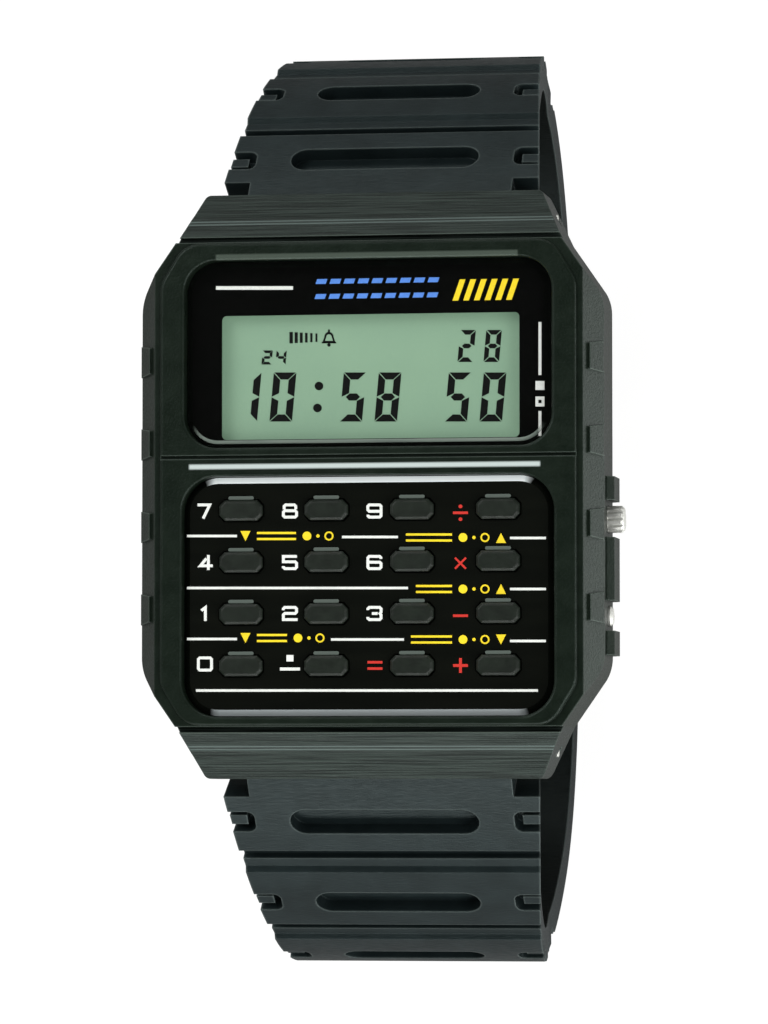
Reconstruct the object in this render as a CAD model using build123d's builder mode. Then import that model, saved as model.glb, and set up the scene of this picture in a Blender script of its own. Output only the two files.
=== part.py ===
# A digital calculator watch on a moulded resin strap, standing face up on its curled strap.
# Millimetres. +Z out of the display, +Y towards 12 o'clock, +X towards 3 o'clock.
# The origin is the centre of the case back's flat outer face.
import os
from math import cos, radians, sin

from build123d import *

os.makedirs("parts", exist_ok=True)

# Fits shared by many pieces
overrun = 1.0
running_gap = 0.05
slip_gap = 0.1
seat_gap = 0.05
free_gap = 0.3

# Panels in the face. The case's length follows from them.
display_length = 13.7
display_rim = 1.3
display_side = 1.85
display_corner_radius = 2.4
keypad_length = 17.5
keypad_rim = 0.69
keypad_side = 1.7
keypad_corner_radius = 2.6
keypad_ledge = 1.0
panel_bar = 2.21
divider_offset = 0.75
divider_groove = 0.25

# Coin cell. The case's width follows from it.
battery_radius = 10.0
battery_height = 1.6
battery_rim = 1.3
battery_rim_step = 0.2
battery_side_room = 2.9
battery_end_room = 0.9

# Case outline, seen from above
case_side_wall = 4.3
case_half_width = battery_radius + battery_side_room + case_side_wall
frame_half_length = (display_length + keypad_length + display_rim + keypad_rim + panel_bar) / 2
frame_end_inset = 0.1
hood_length = 3.8
hood_taper = 1.8
shoulder_length = 4.2
shoulder_width = 2.9
corner_half_width = case_half_width - shoulder_width
corner_half_length = frame_half_length + frame_end_inset
case_side_half_length = corner_half_length - shoulder_length
hood_end_half_width = corner_half_width - hood_taper
case_half_length = corner_half_length + hood_length
case_corner_radius = 3.0
case_end_radius = 0.5

# Pieces stacked up from the back's outer face. The case's height follows from them.
back_thickness = 0.9
insulator_gap = 0.07
insulator_thickness = 0.08
clip_gap = 0.1
clip_sheet = 0.15
board_thickness = 0.6
connector_height = 1.3
lcd_thickness = 1.05
plate_ledge_height = 0.7
plate_thickness = 0.8
plate_drop = 0.7
insulator_bottom = back_thickness + insulator_gap
battery_bottom = insulator_bottom + insulator_thickness + clip_gap + clip_sheet
board_bottom = battery_bottom + battery_height + slip_gap
board_top = board_bottom + board_thickness
lcd_bottom = board_top + connector_height
lcd_top = lcd_bottom + lcd_thickness
cavity_top = lcd_top + seat_gap
plate_bottom = cavity_top + plate_ledge_height
plate_top = plate_bottom + plate_thickness
face_height = plate_top + plate_drop

# Case heights
case_bottom = 0.3
flank_drop = 2.4
flank_height = face_height - flank_drop
flank_run = 1.35
shoulder_drop = 0.35
bottom_chamfer = 0.5

# Raised frame round the display and the keys
frame_side_inset = 0.45
frame_half_width = case_half_width - flank_run - frame_side_inset
frame_corner_width = 1.8
frame_corner_length = 3.0
frame_corner_radius = 2.0
frame_edge_radius = 0.22

# Hoods over the strap ends
hood_start_drop = 0.6
hood_end_drop = 3.3
hood_end_height = face_height - hood_end_drop
hood_first_run = 1.95
hood_step = 0.22
hood_groove_width = 0.4
hood_groove_depth = 0.7

# Grip pads on the flanks
pad_count = 4
pad_pitch = 6.1
pad_length = 2.3
pad_top_drop = 0.86
pad_rise = 0.2
pad_slant = 0.26
pad_z = face_height - pad_top_drop
flank_rise = face_height - shoulder_drop - flank_height
flank_slope_length = (flank_run**2 + flank_rise**2) ** 0.5
pad_inner_x = case_half_width - flank_run * (pad_z - flank_height) / flank_rise

# Spring bars and the room for the strap ends
bar_inset = 2.0
bar_y = case_half_length - bar_inset
bar_z = 2.6
bar_tube_radius = 0.75
bar_tube_wall = 0.15
bar_tube_end_gap = 1.2
bar_tip_radius = 0.4
bar_tip_shoulder_length = 2.0
cheek_wall = 2.3
cheek_gap_half = hood_end_half_width - cheek_wall
bar_tube_half_length = cheek_gap_half - bar_tube_end_gap
bar_tip_end = hood_end_half_width + hood_taper * bar_inset / hood_length - seat_gap
strap_root_radius = 1.75
strap_root_half = cheek_gap_half - free_gap
strap_room_gap = 0.4
strap_room_radius = strap_root_radius + strap_room_gap
strap_room_rise = 1.2

# Inside of the case
cavity_end_wall = 2.3
cavity_width = 2 * (case_half_width - case_side_wall)
cavity_length = 2 * (corner_half_length - cavity_end_wall)
cavity_corner_radius = 3.5
inner_gap = 0.2
inner_half_width = cavity_width / 2 - inner_gap
inner_half_length = cavity_length / 2 - inner_gap

# Case back, its seal and its screws
back_side_lap = 2.0
back_end_lap = 1.5
back_half_width = cavity_width / 2 + back_side_lap
back_half_length = cavity_length / 2 + back_end_lap
back_corner_radius = 2.0
back_edge_chamfer = 0.25
seal_inset = 0.3
seal_width = 0.7
seal_height = 0.55
screw_side_inset = 1.5
screw_end_inset = 1.2
screw_x = back_half_width - screw_side_inset
screw_y = back_half_length - screw_end_inset
screw_radius = 0.6
screw_head_radius = 0.95
screw_head_height = 0.45
screw_length = 2.2
screw_slot_width = 0.25
screw_slot_depth = 0.2

# Keypad
plate_bevel = 0.45
keypad_width = 2 * (frame_half_width - keypad_side)
keypad_y = keypad_length / 2 + keypad_rim - frame_half_length
keys_across = 4
keys_down = 4
keys_left_margin = 4.28
keys_right_margin = 4.1
keys_top_margin = 2.44
keys_bottom_margin = 3.66
column_pitch = (keypad_width - keys_left_margin - keys_right_margin) / (keys_across - 1)
row_pitch = (keypad_length - keys_top_margin - keys_bottom_margin) / (keys_down - 1)
key_length = 3.2
key_width = 1.5
key_end_width = 0.7
key_end_run = 0.4
key_rise = 0.45
key_travel = 0.4
key_flange = 0.35
key_flange_height = 0.4
key_stem_radius = 0.6
key_top_chamfer = 0.18
lip_length = 1.9
lip_width = 0.26
lip_height = 0.16
lip_offset = 0.92
web_gap = 0.7
web_top_gap = 0.3

# Display
crystal_drop = 0.4
crystal_thickness = 0.75
crystal_bevel = 0.5
mask_gap = 0.05
mask_thickness = 0.15
display_width = 2 * (frame_half_width - display_side)
display_y = frame_half_length - display_rim - display_length / 2
display_low_y = display_y - display_length / 2
divider_y = display_low_y - divider_offset
crystal_top = face_height - crystal_drop
crystal_bottom = crystal_top - crystal_thickness
mask_bottom = crystal_bottom - mask_gap - mask_thickness
window_left_margin = 2.55
window_right_margin = 2.45
window_top_margin = 3.955
window_low_margin = 0.595
lcd_window_width = display_width - window_left_margin - window_right_margin
lcd_window_length = display_length - window_top_margin - window_low_margin
lcd_window_x = (window_left_margin - window_right_margin) / 2
lcd_window_y = display_y - (window_top_margin - window_low_margin) / 2
lcd_window_radius = 0.35
window_hole_margin = 0.3
lcd_side_lap = 0.45
lcd_end_lap = 0.8
lcd_width = lcd_window_width + 2 * (window_hole_margin + lcd_side_lap)
lcd_length = lcd_window_length + 2 * (window_hole_margin + lcd_end_lap)
reflector_thickness = 0.15
connector_width = 1.0
connector_inset = 0.6
connector_side_inset = 0.8
connector_length = lcd_width - 2 * connector_side_inset
connector_offset = lcd_length / 2 - connector_inset
reflector_length = 2 * (connector_offset - connector_width / 2 - seat_gap)
holder_wall = 0.8
holder_low_y = lcd_window_y - lcd_length / 2 - seat_gap - holder_wall

# Movement
frame_thickness = 1.5
frame_bottom = board_bottom - frame_thickness
battery_y = battery_radius + battery_end_room - cavity_length / 2
clip_width = 5.0
clip_end_gap = 0.4
clip_half_length = inner_half_width - clip_end_gap
clip_bend_gap = 0.2
clip_bend_run = 0.5
clip_bend_inner = battery_radius + clip_bend_gap
clip_bend_outer = clip_bend_inner + clip_bend_run
clip_screw_inset = 0.65
clip_screw_x = clip_half_length - clip_screw_inset
clip_screw_radius = 0.45
clip_screw_head_radius = 0.8
clip_screw_head_height = 0.25
contact_length = 6.0
contact_width = 2.0
buzzer_radius = 4.6
buzzer_end_gap = 0.6
buzzer_y = cavity_length / 2 - buzzer_end_gap - buzzer_radius
buzzer_thickness = 0.2
buzzer_spring_radius = 0.9
buzzer_spring_wall = 0.25
chip_x = -7.0
chip_offset = 0.1
chip_y = buzzer_y - chip_offset
chip_radius = 2.8
chip_height = 0.9
chip_dome = 0.5
quartz_x = 8.0
quartz_offset = 1.3
quartz_y = buzzer_y + quartz_offset
quartz_radius = 0.7
quartz_length = 5.0
trimmer_x = 8.0
trimmer_offset = 1.9
trimmer_y = buzzer_y - trimmer_offset
trimmer_radius = 1.1
trimmer_height = 0.8
trimmer_slot_width = 0.3

# Side pushers
pusher_z = board_bottom + board_thickness / 2
mode_y = -2.6
mode_head_radius = 1.0
mode_head_out = 1.2
mode_travel = 0.5
mode_flutes = 12
flute_radius = 0.14
adjust_y = -9.7
adjust_head_radius = 0.75
adjust_head_out = 0.35
pusher_head_in = 0.3
pusher_room_length = 1.0
pusher_head_start = case_half_width - pusher_head_in
pusher_room_start = pusher_head_start - pusher_room_length
pusher_shaft_radius = 0.6
pusher_neck_radius = 0.38
pusher_inner_reach = 0.6
pusher_inner_end = cavity_width / 2 - pusher_inner_reach
pusher_clip_radius = 1.0
pusher_clip_sheet = 0.2
pusher_seal_inset = 1.3
pusher_seal_x = pusher_room_start - pusher_seal_inset
pusher_seal_width = 0.45
pusher_dome = 0.2
guard_out = 0.6
guard_top_margin = 3.1
guard_bottom_margin = 2.9
guard_top_y = mode_y + guard_top_margin
guard_bottom_y = adjust_y - guard_bottom_margin
guard_below = 2.3
guard_above = 1.9
guard_low = pusher_z - guard_below
guard_high = pusher_z + guard_above
guard_chamfer = 0.5
guard_notch_margin = 0.35

# Strap. Both halves leave their bars at one slope, then curl in links with their own bends.
first_link_length = 9.7
link_length = 8.75
strap_slope_degrees = 38
upper_turns_degrees = (10, 17, 25, 27, 24, 18.5, 18.5, 2)
lower_turns_degrees = (8, 14, 29, 22, 15, 26, 22, 6)
strap_thickness = 2.6
strap_root_length = 3.2
strap_start_half = 12.1
strap_start_z = 3.4
strap_middle_half = 10.4
strap_middle_z = -10.0
strap_end_half = 9.0
strap_end_z = -26.0
patterned_links = 4
groove_before = 1.1
groove_after = 1.2
groove_depth = 0.85
groove_slant = 0.18
rib_start = 0.05
rib_end = 0.85
rib_drop = 0.35
slot_inset = 2.95
slot_edge_margin = 4.55
slot_width = 2.4
recess_depth = 1.1
notch_reach = 1.9
notch_width = 2.0
notch_corner_radius = 0.6
nub_reach = 1.3
nub_width = 0.9
nub_drop = 0.25
upper_length = 64.5
hole_count = 6
hole_pitch = 4.6
hole_tip_distance = 7.2
hole_length = 2.6
hole_width = 1.7
tip_radius_excess = 1.5
strap_ends_gap = 1.0

# Buckle and keeper
pin_radius = 0.6
pin_end_inset = 0.2
buckle_eye_radius = 1.55
buckle_side_gap = 0.4
buckle_arm = 1.5
buckle_width = 2 * (strap_end_half + buckle_side_gap + buckle_arm)
pin_half_length = buckle_width / 2 - pin_end_inset
buckle_length = 12.6
buckle_back = 1.6
buckle_bar = 1.7
buckle_half_height = 0.9
buckle_corner_radius = 1.6
tongue_width = 2.0
tongue_height = 0.7
tongue_eye_radius = 1.25
tongue_room_half = 1.5
tongue_room_length = 3.4
keeper_length = 4.8
keeper_end_distance = 7.1
keeper_middle = upper_length - keeper_end_distance
keeper_wall = 0.8
keeper_room = 2.8


def cavity_sketch(shrink):
    """The rounded rectangle of the case's inside, drawn in by a gap on every side."""
    RectangleRounded(
        cavity_width - 2 * shrink, cavity_length - 2 * shrink, cavity_corner_radius - shrink
    )


def outline_points(side_x, side_y, corner_x, corner_y):
    """Eight points of a rectangle with cut corners, counter-clockwise."""
    return [
        (side_x, -side_y),
        (side_x, side_y),
        (corner_x, corner_y),
        (-corner_x, corner_y),
        (-side_x, side_y),
        (-side_x, -side_y),
        (-corner_x, -corner_y),
        (corner_x, -corner_y),
    ]


def key_outline(grow):
    """A key seen from above: a bar whose four corners are cut, grown by a margin."""
    half_length = key_length / 2 + grow
    half_width = key_width / 2 + grow
    half_end = key_end_width / 2 + grow / 2
    Polygon(
        *outline_points(half_length, half_end, half_length - key_end_run, half_width),
        align=None,
    )


# Case body: one resin moulding with a framed face, ribbed hoods over the strap ends,
# grip pads on its flanks and a guard beside the pushers. Everything else mounts in it.
pad_offsets = [pad_pitch * (index - (pad_count - 1) / 2) for index in range(pad_count)]
with BuildPart() as flank_pads:
    with BuildSketch(Plane.XY.offset(flank_height)):
        with Locations(*[(0, offset_y) for offset_y in pad_offsets]):
            for side in (1, -1):
                Polygon(
                    (side * (pad_inner_x - pad_rise), pad_slant - pad_length / 2),
                    (side * (pad_inner_x - pad_rise), pad_length / 2 - pad_slant),
                    (side * case_half_width, pad_length / 2),
                    (side * case_half_width, -pad_length / 2),
                    align=None,
                )
    extrude(amount=face_height - flank_height)
    # Each pad stands proud of the sloping flank by the same rise all over
    pad_shift_x = pad_rise * flank_rise / flank_slope_length
    pad_shift_z = pad_rise * flank_run / flank_slope_length
    with BuildSketch(Plane.XZ):
        for side in (1, -1):
            Polygon(
                (side * case_half_width, flank_height),
                (side * case_half_width, flank_height + pad_rise * flank_slope_length / flank_run),
                (side * (pad_inner_x + pad_shift_x), pad_z + pad_shift_z),
                (side * (pad_inner_x - pad_shift_x), pad_z - pad_shift_z),
                (side * (pad_inner_x - pad_shift_x), flank_height),
                align=None,
            )
    extrude(amount=case_half_length, both=True, mode=Mode.INTERSECT)
pushers = (
    (mode_y, mode_head_radius),
    (adjust_y, adjust_head_radius),
)
with BuildPart() as case_body:
    with BuildSketch(Plane.XY.offset(case_bottom)) as footprint:
        with BuildLine():
            Polyline(
                (case_half_width, -case_side_half_length),
                (case_half_width, case_side_half_length),
                (corner_half_width, corner_half_length),
                (hood_end_half_width, case_half_length),
                (-hood_end_half_width, case_half_length),
                (-corner_half_width, corner_half_length),
                (-case_half_width, case_side_half_length),
                (-case_half_width, -case_side_half_length),
                (-corner_half_width, -corner_half_length),
                (-hood_end_half_width, -case_half_length),
                (hood_end_half_width, -case_half_length),
                (corner_half_width, -corner_half_length),
                close=True,
            )
        make_face()
        fillet(footprint.vertices().group_by(Axis.X)[0], case_corner_radius)
        fillet(footprint.vertices().group_by(Axis.X)[-1], case_corner_radius)
        fillet(footprint.vertices().group_by(Axis.Y)[0], case_end_radius)
        fillet(footprint.vertices().group_by(Axis.Y)[-1], case_end_radius)
    extrude(amount=face_height - case_bottom)
    # Flanks lean in above the wall
    with BuildSketch(Plane.XZ):
        with BuildLine():
            Polyline(
                (-case_half_width + bottom_chamfer, case_bottom),
                (-case_half_width, case_bottom + bottom_chamfer),
                (-case_half_width, flank_height),
                (-case_half_width + flank_run, face_height - shoulder_drop),
                (-case_half_width + flank_run, face_height),
                (case_half_width - flank_run, face_height),
                (case_half_width - flank_run, face_height - shoulder_drop),
                (case_half_width, flank_height),
                (case_half_width, case_bottom + bottom_chamfer),
                (case_half_width - bottom_chamfer, case_bottom),
                close=True,
            )
        make_face()
    extrude(amount=case_half_length + overrun, both=True, mode=Mode.INTERSECT)
    # Hoods slope down in two steps from the framed face to the strap
    hood_slope = (face_height - hood_start_drop - hood_end_height) / hood_length
    hood_step_y = corner_half_length + hood_first_run
    hood_step_z = face_height - hood_start_drop - hood_slope * hood_first_run
    with BuildSketch(Plane.YZ) as length_view:
        with BuildLine():
            Polyline(
                (0, case_bottom),
                (case_half_length - bottom_chamfer, case_bottom),
                (case_half_length, case_bottom + bottom_chamfer),
                (case_half_length, hood_end_height),
                (hood_step_y + hood_step, hood_step_z - hood_step),
                (hood_step_y, hood_step_z),
                (corner_half_length, face_height - hood_start_drop),
                (corner_half_length, face_height),
                (0, face_height),
                close=True,
            )
        make_face()
        mirror(about=Plane.YZ)
    extrude(amount=case_half_width + overrun, both=True, mode=Mode.INTERSECT)
    # Shoulders: the face outside the raised frame sits lower
    with BuildSketch(Plane.XY.offset(face_height - shoulder_drop)):
        Rectangle(2 * (case_half_width + overrun), 2 * corner_half_length)
        frame_points = outline_points(
            frame_half_width,
            frame_half_length - frame_corner_length,
            frame_half_width - frame_corner_width,
            frame_half_length,
        )
        with BuildSketch(mode=Mode.SUBTRACT) as frame_outline:
            Polygon(*frame_points, align=None)
            fillet(frame_outline.vertices(), frame_corner_radius)
    extrude(amount=shoulder_drop + overrun, mode=Mode.SUBTRACT)
    # Grooves between the framed face and the hoods
    for side in (1, -1):
        with BuildSketch(Plane.XY.offset(face_height - hood_start_drop)):
            with Locations((0, side * (corner_half_length + hood_groove_width / 2))):
                Rectangle(2 * case_half_width, hood_groove_width)
        extrude(amount=-hood_groove_depth, mode=Mode.SUBTRACT)
    # Grip pads on both flanks
    add(flank_pads.part)
    # Guard beside the pushers, on the 3 o'clock flank
    with BuildSketch(Plane.XZ.offset(-guard_top_y)):
        with BuildLine():
            Polyline(
                (case_half_width - guard_chamfer, guard_low),
                (case_half_width + guard_out - guard_chamfer, guard_low),
                (case_half_width + guard_out, guard_low + guard_chamfer),
                (case_half_width + guard_out, guard_high - guard_chamfer),
                (case_half_width + guard_out - guard_chamfer, guard_high),
                (case_half_width - guard_chamfer, guard_high),
                close=True,
            )
        make_face()
    extrude(amount=guard_top_y - guard_bottom_y)
    # Inside, open at the back
    with BuildSketch(Plane.XY.offset(case_bottom)):
        cavity_sketch(0)
    extrude(amount=cavity_top - case_bottom, mode=Mode.SUBTRACT)
    # Recess for the back plate, and the seal's groove round the inside
    with BuildSketch(Plane.XY.offset(case_bottom)):
        RectangleRounded(
            2 * (back_half_width + seat_gap), 2 * (back_half_length + seat_gap), back_corner_radius
        )
    extrude(amount=back_thickness - case_bottom, mode=Mode.SUBTRACT)
    with BuildSketch(Plane.XY.offset(back_thickness)):
        cavity_sketch(-seal_inset - seal_width)
    extrude(amount=seal_height, mode=Mode.SUBTRACT)
    with BuildSketch(Plane.XY.offset(back_thickness)):
        cavity_sketch(-seal_inset)
        with BuildSketch(mode=Mode.SUBTRACT):
            cavity_sketch(0)
    extrude(amount=seal_height)
    with BuildSketch(Plane.XY.offset(back_thickness)):
        with GridLocations(2 * screw_x, 2 * screw_y, 2, 2):
            Circle(screw_radius)
    extrude(amount=screw_length, mode=Mode.SUBTRACT)
    # Face openings: each panel drops onto a ledge
    with BuildSketch(Plane.XY.offset(mask_bottom)):
        with Locations((0, display_y)):
            RectangleRounded(
                display_width + 2 * seat_gap, display_length + 2 * seat_gap, display_corner_radius
            )
    extrude(amount=face_height - mask_bottom, mode=Mode.SUBTRACT)
    with BuildSketch(Plane.XY.offset(cavity_top)):
        with Locations((lcd_window_x, lcd_window_y)):
            Rectangle(
                lcd_window_width + 2 * window_hole_margin, lcd_window_length + 2 * window_hole_margin
            )
    extrude(amount=face_height - cavity_top, mode=Mode.SUBTRACT)
    with BuildSketch(Plane.XY.offset(plate_bottom)):
        with Locations((0, keypad_y)):
            RectangleRounded(
                keypad_width + 2 * seat_gap, keypad_length + 2 * seat_gap, keypad_corner_radius
            )
    extrude(amount=face_height - plate_bottom, mode=Mode.SUBTRACT)
    with BuildSketch(Plane.XY.offset(cavity_top)):
        with Locations((0, keypad_y)):
            RectangleRounded(
                keypad_width - 2 * keypad_ledge,
                keypad_length - 2 * keypad_ledge,
                keypad_corner_radius - keypad_ledge,
            )
    extrude(amount=face_height - cavity_top, mode=Mode.SUBTRACT)
    fillet(case_body.edges().filter_by_position(Axis.Z, face_height, face_height), frame_edge_radius)
    # Fine groove across the bar between the two panels
    with BuildSketch(Plane.XY.offset(face_height)):
        with Locations((0, divider_y)):
            Rectangle(2 * frame_half_width, divider_groove)
    extrude(amount=-divider_groove, mode=Mode.SUBTRACT)
    # Rooms for the strap ends under the hoods
    for side in (1, -1):
        with BuildSketch(Plane.YZ) as strap_room:
            with Locations((side * bar_y, bar_z)):
                Circle(strap_room_radius)
                Rectangle(2 * strap_room_radius, bar_z + overrun, align=(Align.CENTER, Align.MAX))
            with Locations((side * (bar_y + strap_room_radius), bar_z + strap_room_rise)):
                Rectangle(
                    2 * strap_room_radius,
                    bar_z + strap_room_rise + overrun,
                    align=(Align.CENTER, Align.MAX),
                )
        extrude(amount=cheek_gap_half, both=True, mode=Mode.SUBTRACT)
        with BuildSketch(Plane.YZ):
            with Locations((side * bar_y, bar_z)):
                Circle(bar_tip_radius + running_gap)
        extrude(amount=case_half_width, both=True, mode=Mode.SUBTRACT)
    # Stepped bores for the pushers, each through a notch in the guard
    for place_y, head_radius in pushers:
        with BuildSketch(Plane.YZ.offset(cavity_width / 2 - overrun)):
            with Locations((place_y, pusher_z)):
                Circle(pusher_shaft_radius + running_gap)
        extrude(amount=case_half_width, mode=Mode.SUBTRACT)
        with BuildSketch(Plane.YZ.offset(pusher_room_start)):
            with Locations((place_y, pusher_z)):
                Circle(head_radius + running_gap)
        extrude(amount=case_half_width, mode=Mode.SUBTRACT)
        with BuildSketch(Plane.YZ.offset(case_half_width)):
            with Locations((place_y, pusher_z)):
                Rectangle(2 * (head_radius + guard_notch_margin), guard_high)
        extrude(amount=guard_out + overrun, mode=Mode.SUBTRACT)
case_body.part.label = "case_body"
export_step(case_body.part, "parts/case_body.step")

# Case back: a steel plate let into the underside
with BuildPart() as case_back:
    with BuildSketch():
        RectangleRounded(2 * back_half_width, 2 * back_half_length, back_corner_radius)
    extrude(amount=back_thickness)
    chamfer(case_back.faces().sort_by(Axis.Z)[0].edges(), back_edge_chamfer)
    with Locations(Plane.XY.offset(0).rotated((180, 0, 0))):
        with GridLocations(2 * screw_x, 2 * screw_y, 2, 2):
            CounterBoreHole(
                screw_radius + running_gap, screw_head_radius + running_gap, screw_head_height + seat_gap
            )
case_back.part.label = "case_back"
export_step(case_back.part, "parts/case_back.step")

# Four slotted screws hold the back
with BuildPart() as case_back_screws:
    with GridLocations(2 * screw_x, 2 * screw_y, 2, 2):
        with Locations((0, 0, seat_gap)):
            Cylinder(
                screw_head_radius,
                screw_head_height,
                align=(Align.CENTER, Align.CENTER, Align.MIN),
            )
            Cylinder(
                screw_radius,
                back_thickness + screw_length - 2 * seat_gap,
                align=(Align.CENTER, Align.CENTER, Align.MIN),
            )
            Box(
                2 * screw_head_radius,
                screw_slot_width,
                screw_slot_depth,
                align=(Align.CENTER, Align.CENTER, Align.MIN),
                mode=Mode.SUBTRACT,
            )
case_back_screws.part.label = "case_back_screws"
export_step(case_back_screws.part, "parts/case_back_screws.step")

# Rubber seal in its groove
with BuildPart() as back_gasket:
    with BuildSketch(Plane.XY.offset(back_thickness)):
        cavity_sketch(-seal_inset - seal_width)
        with BuildSketch(mode=Mode.SUBTRACT):
            cavity_sketch(-seal_inset)
    extrude(amount=seal_height)
back_gasket.part.label = "back_gasket"
export_step(back_gasket.part, "parts/back_gasket.step")

# Display: clear crystal, printed mask, glass panel, reflector and rubber connectors
with BuildPart() as display_crystal:
    with BuildSketch(Plane.XY.offset(crystal_bottom)):
        with Locations((0, display_y)):
            RectangleRounded(display_width, display_length, display_corner_radius)
    extrude(amount=crystal_top - crystal_bottom)
    chamfer(display_crystal.faces().sort_by(Axis.Z)[-1].edges(), crystal_bevel)
display_crystal.part.label = "display_crystal"
export_step(display_crystal.part, "parts/display_crystal.step")

with BuildPart() as display_mask:
    with BuildSketch(Plane.XY.offset(mask_bottom)):
        with Locations((0, display_y)):
            RectangleRounded(display_width, display_length, display_corner_radius)
        with Locations((lcd_window_x, lcd_window_y)):
            RectangleRounded(
                lcd_window_width, lcd_window_length, lcd_window_radius, mode=Mode.SUBTRACT
            )
    extrude(amount=mask_thickness)
display_mask.part.label = "display_mask"
export_step(display_mask.part, "parts/display_mask.step")

with BuildPart() as lcd_panel:
    with BuildSketch(Plane.XY.offset(lcd_bottom)):
        with Locations((lcd_window_x, lcd_window_y)):
            Rectangle(lcd_width, lcd_length)
    extrude(amount=lcd_thickness)
lcd_panel.part.label = "lcd_panel"
export_step(lcd_panel.part, "parts/lcd_panel.step")

with BuildPart() as lcd_reflector:
    with BuildSketch(Plane.XY.offset(lcd_bottom)):
        with Locations((lcd_window_x, lcd_window_y)):
            Rectangle(lcd_width, reflector_length)
    extrude(amount=-reflector_thickness)
lcd_reflector.part.label = "lcd_reflector"
export_step(lcd_reflector.part, "parts/lcd_reflector.step")

with BuildPart() as lcd_connectors:
    with BuildSketch(Plane.XY.offset(board_top)):
        with Locations((lcd_window_x, lcd_window_y)):
            with GridLocations(0, 2 * connector_offset, 1, 2):
                Rectangle(connector_length, connector_width)
    extrude(amount=lcd_bottom - board_top)
lcd_connectors.part.label = "lcd_connectors"
export_step(lcd_connectors.part, "parts/lcd_connectors.step")

with BuildPart() as lcd_holder:
    with BuildSketch(Plane.XY.offset(board_top)):
        with Locations((0, inner_half_length)):
            Rectangle(
                2 * inner_half_width,
                inner_half_length - holder_low_y,
                align=(Align.CENTER, Align.MAX),
            )
        with BuildSketch(mode=Mode.INTERSECT):
            cavity_sketch(inner_gap)
        with Locations((lcd_window_x, lcd_window_y)):
            Rectangle(lcd_width + 2 * seat_gap, lcd_length + 2 * seat_gap, mode=Mode.SUBTRACT)
    extrude(amount=lcd_top - board_top)
lcd_holder.part.label = "lcd_holder"
export_step(lcd_holder.part, "parts/lcd_holder.step")


def clear_the_pushers():
    """Cut the room that the pushers' inner ends travel in, from a piece beside them."""
    for place_y, head_radius in pushers:
        with BuildSketch(Plane.YZ.offset(pusher_inner_end - mode_travel - free_gap)) as room:
            with Locations((place_y, pusher_z)):
                Rectangle(2 * (pusher_clip_radius + free_gap), 2 * (pusher_clip_radius + free_gap))
        extrude(room.sketch, amount=cavity_width, mode=Mode.SUBTRACT)


# Keypad: one glossy plate, sixteen keys and the rubber web that lifts them
first_column_x = keys_left_margin - keypad_width / 2
first_row_y = keypad_y + keypad_length / 2 - keys_top_margin
columns = [first_column_x + column_pitch * index for index in range(keys_across)]
rows = [first_row_y - row_pitch * index for index in range(keys_down)]
key_names = (
    ("key_7", "key_8", "key_9", "key_divide"),
    ("key_4", "key_5", "key_6", "key_multiply"),
    ("key_1", "key_2", "key_3", "key_minus"),
    ("key_0", "key_point", "key_equals", "key_plus"),
)
key_places = [(column, row) for row in rows for column in columns]
with BuildPart() as keypad_plate:
    with BuildSketch(Plane.XY.offset(plate_bottom)):
        with Locations((0, keypad_y)):
            RectangleRounded(keypad_width, keypad_length, keypad_corner_radius)
    extrude(amount=plate_top - plate_bottom)
    chamfer(keypad_plate.faces().sort_by(Axis.Z)[-1].edges(), plate_bevel)
    with BuildSketch(Plane.XY.offset(plate_bottom)):
        with Locations(*key_places):
            key_outline(slip_gap)
    extrude(amount=plate_top, mode=Mode.SUBTRACT)
    # A low lip above each key
    with BuildSketch(Plane.XY.offset(plate_top)):
        with Locations(*[(column, row + lip_offset) for column, row in key_places]):
            SlotOverall(lip_length, lip_width)
    extrude(amount=lip_height)
keypad_plate.part.label = "keypad_plate"
export_step(keypad_plate.part, "parts/keypad_plate.step")

flange_top = plate_bottom - seat_gap
stem_bottom = board_top + key_travel + seat_gap
for row_names, row in zip(key_names, rows):
    for name, column in zip(row_names, columns):
        with BuildPart() as key:
            with BuildSketch(Plane.XY.offset(flange_top)):
                with Locations((column, row)):
                    key_outline(0)
            extrude(amount=plate_top + key_rise - flange_top)
            chamfer(key.faces().sort_by(Axis.Z)[-1].edges(), key_top_chamfer)
            with BuildSketch(Plane.XY.offset(flange_top)):
                with Locations((column, row)):
                    key_outline(key_flange)
            extrude(amount=-key_flange_height)
            with BuildSketch(Plane.XY.offset(stem_bottom)):
                with Locations((column, row)):
                    Circle(key_stem_radius)
            extrude(amount=flange_top - stem_bottom)
        key.part.label = name
        export_step(key.part, f"parts/{name}.step")

with BuildPart() as key_web:
    with BuildSketch(Plane.XY.offset(board_top)):
        with Locations((0, holder_low_y - web_gap)):
            Rectangle(
                2 * inner_half_width,
                inner_half_length + holder_low_y - web_gap,
                align=(Align.CENTER, Align.MAX),
            )
        with BuildSketch(mode=Mode.INTERSECT):
            cavity_sketch(inner_gap)
        with Locations(*key_places):
            Circle(key_stem_radius + slip_gap, mode=Mode.SUBTRACT)
    extrude(amount=cavity_top - web_top_gap - board_top)
    clear_the_pushers()
key_web.part.label = "key_web"
export_step(key_web.part, "parts/key_web.step")

# Movement: circuit board, its components, and the frame that spaces it off the back
with BuildPart() as circuit_board:
    with BuildSketch(Plane.XY.offset(board_bottom)):
        cavity_sketch(inner_gap)
        with Locations((-clip_screw_x, battery_y), (clip_screw_x, battery_y)):
            Circle(clip_screw_radius + running_gap, mode=Mode.SUBTRACT)
    extrude(amount=board_thickness)
    clear_the_pushers()
circuit_board.part.label = "circuit_board"
export_step(circuit_board.part, "parts/circuit_board.step")

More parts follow.
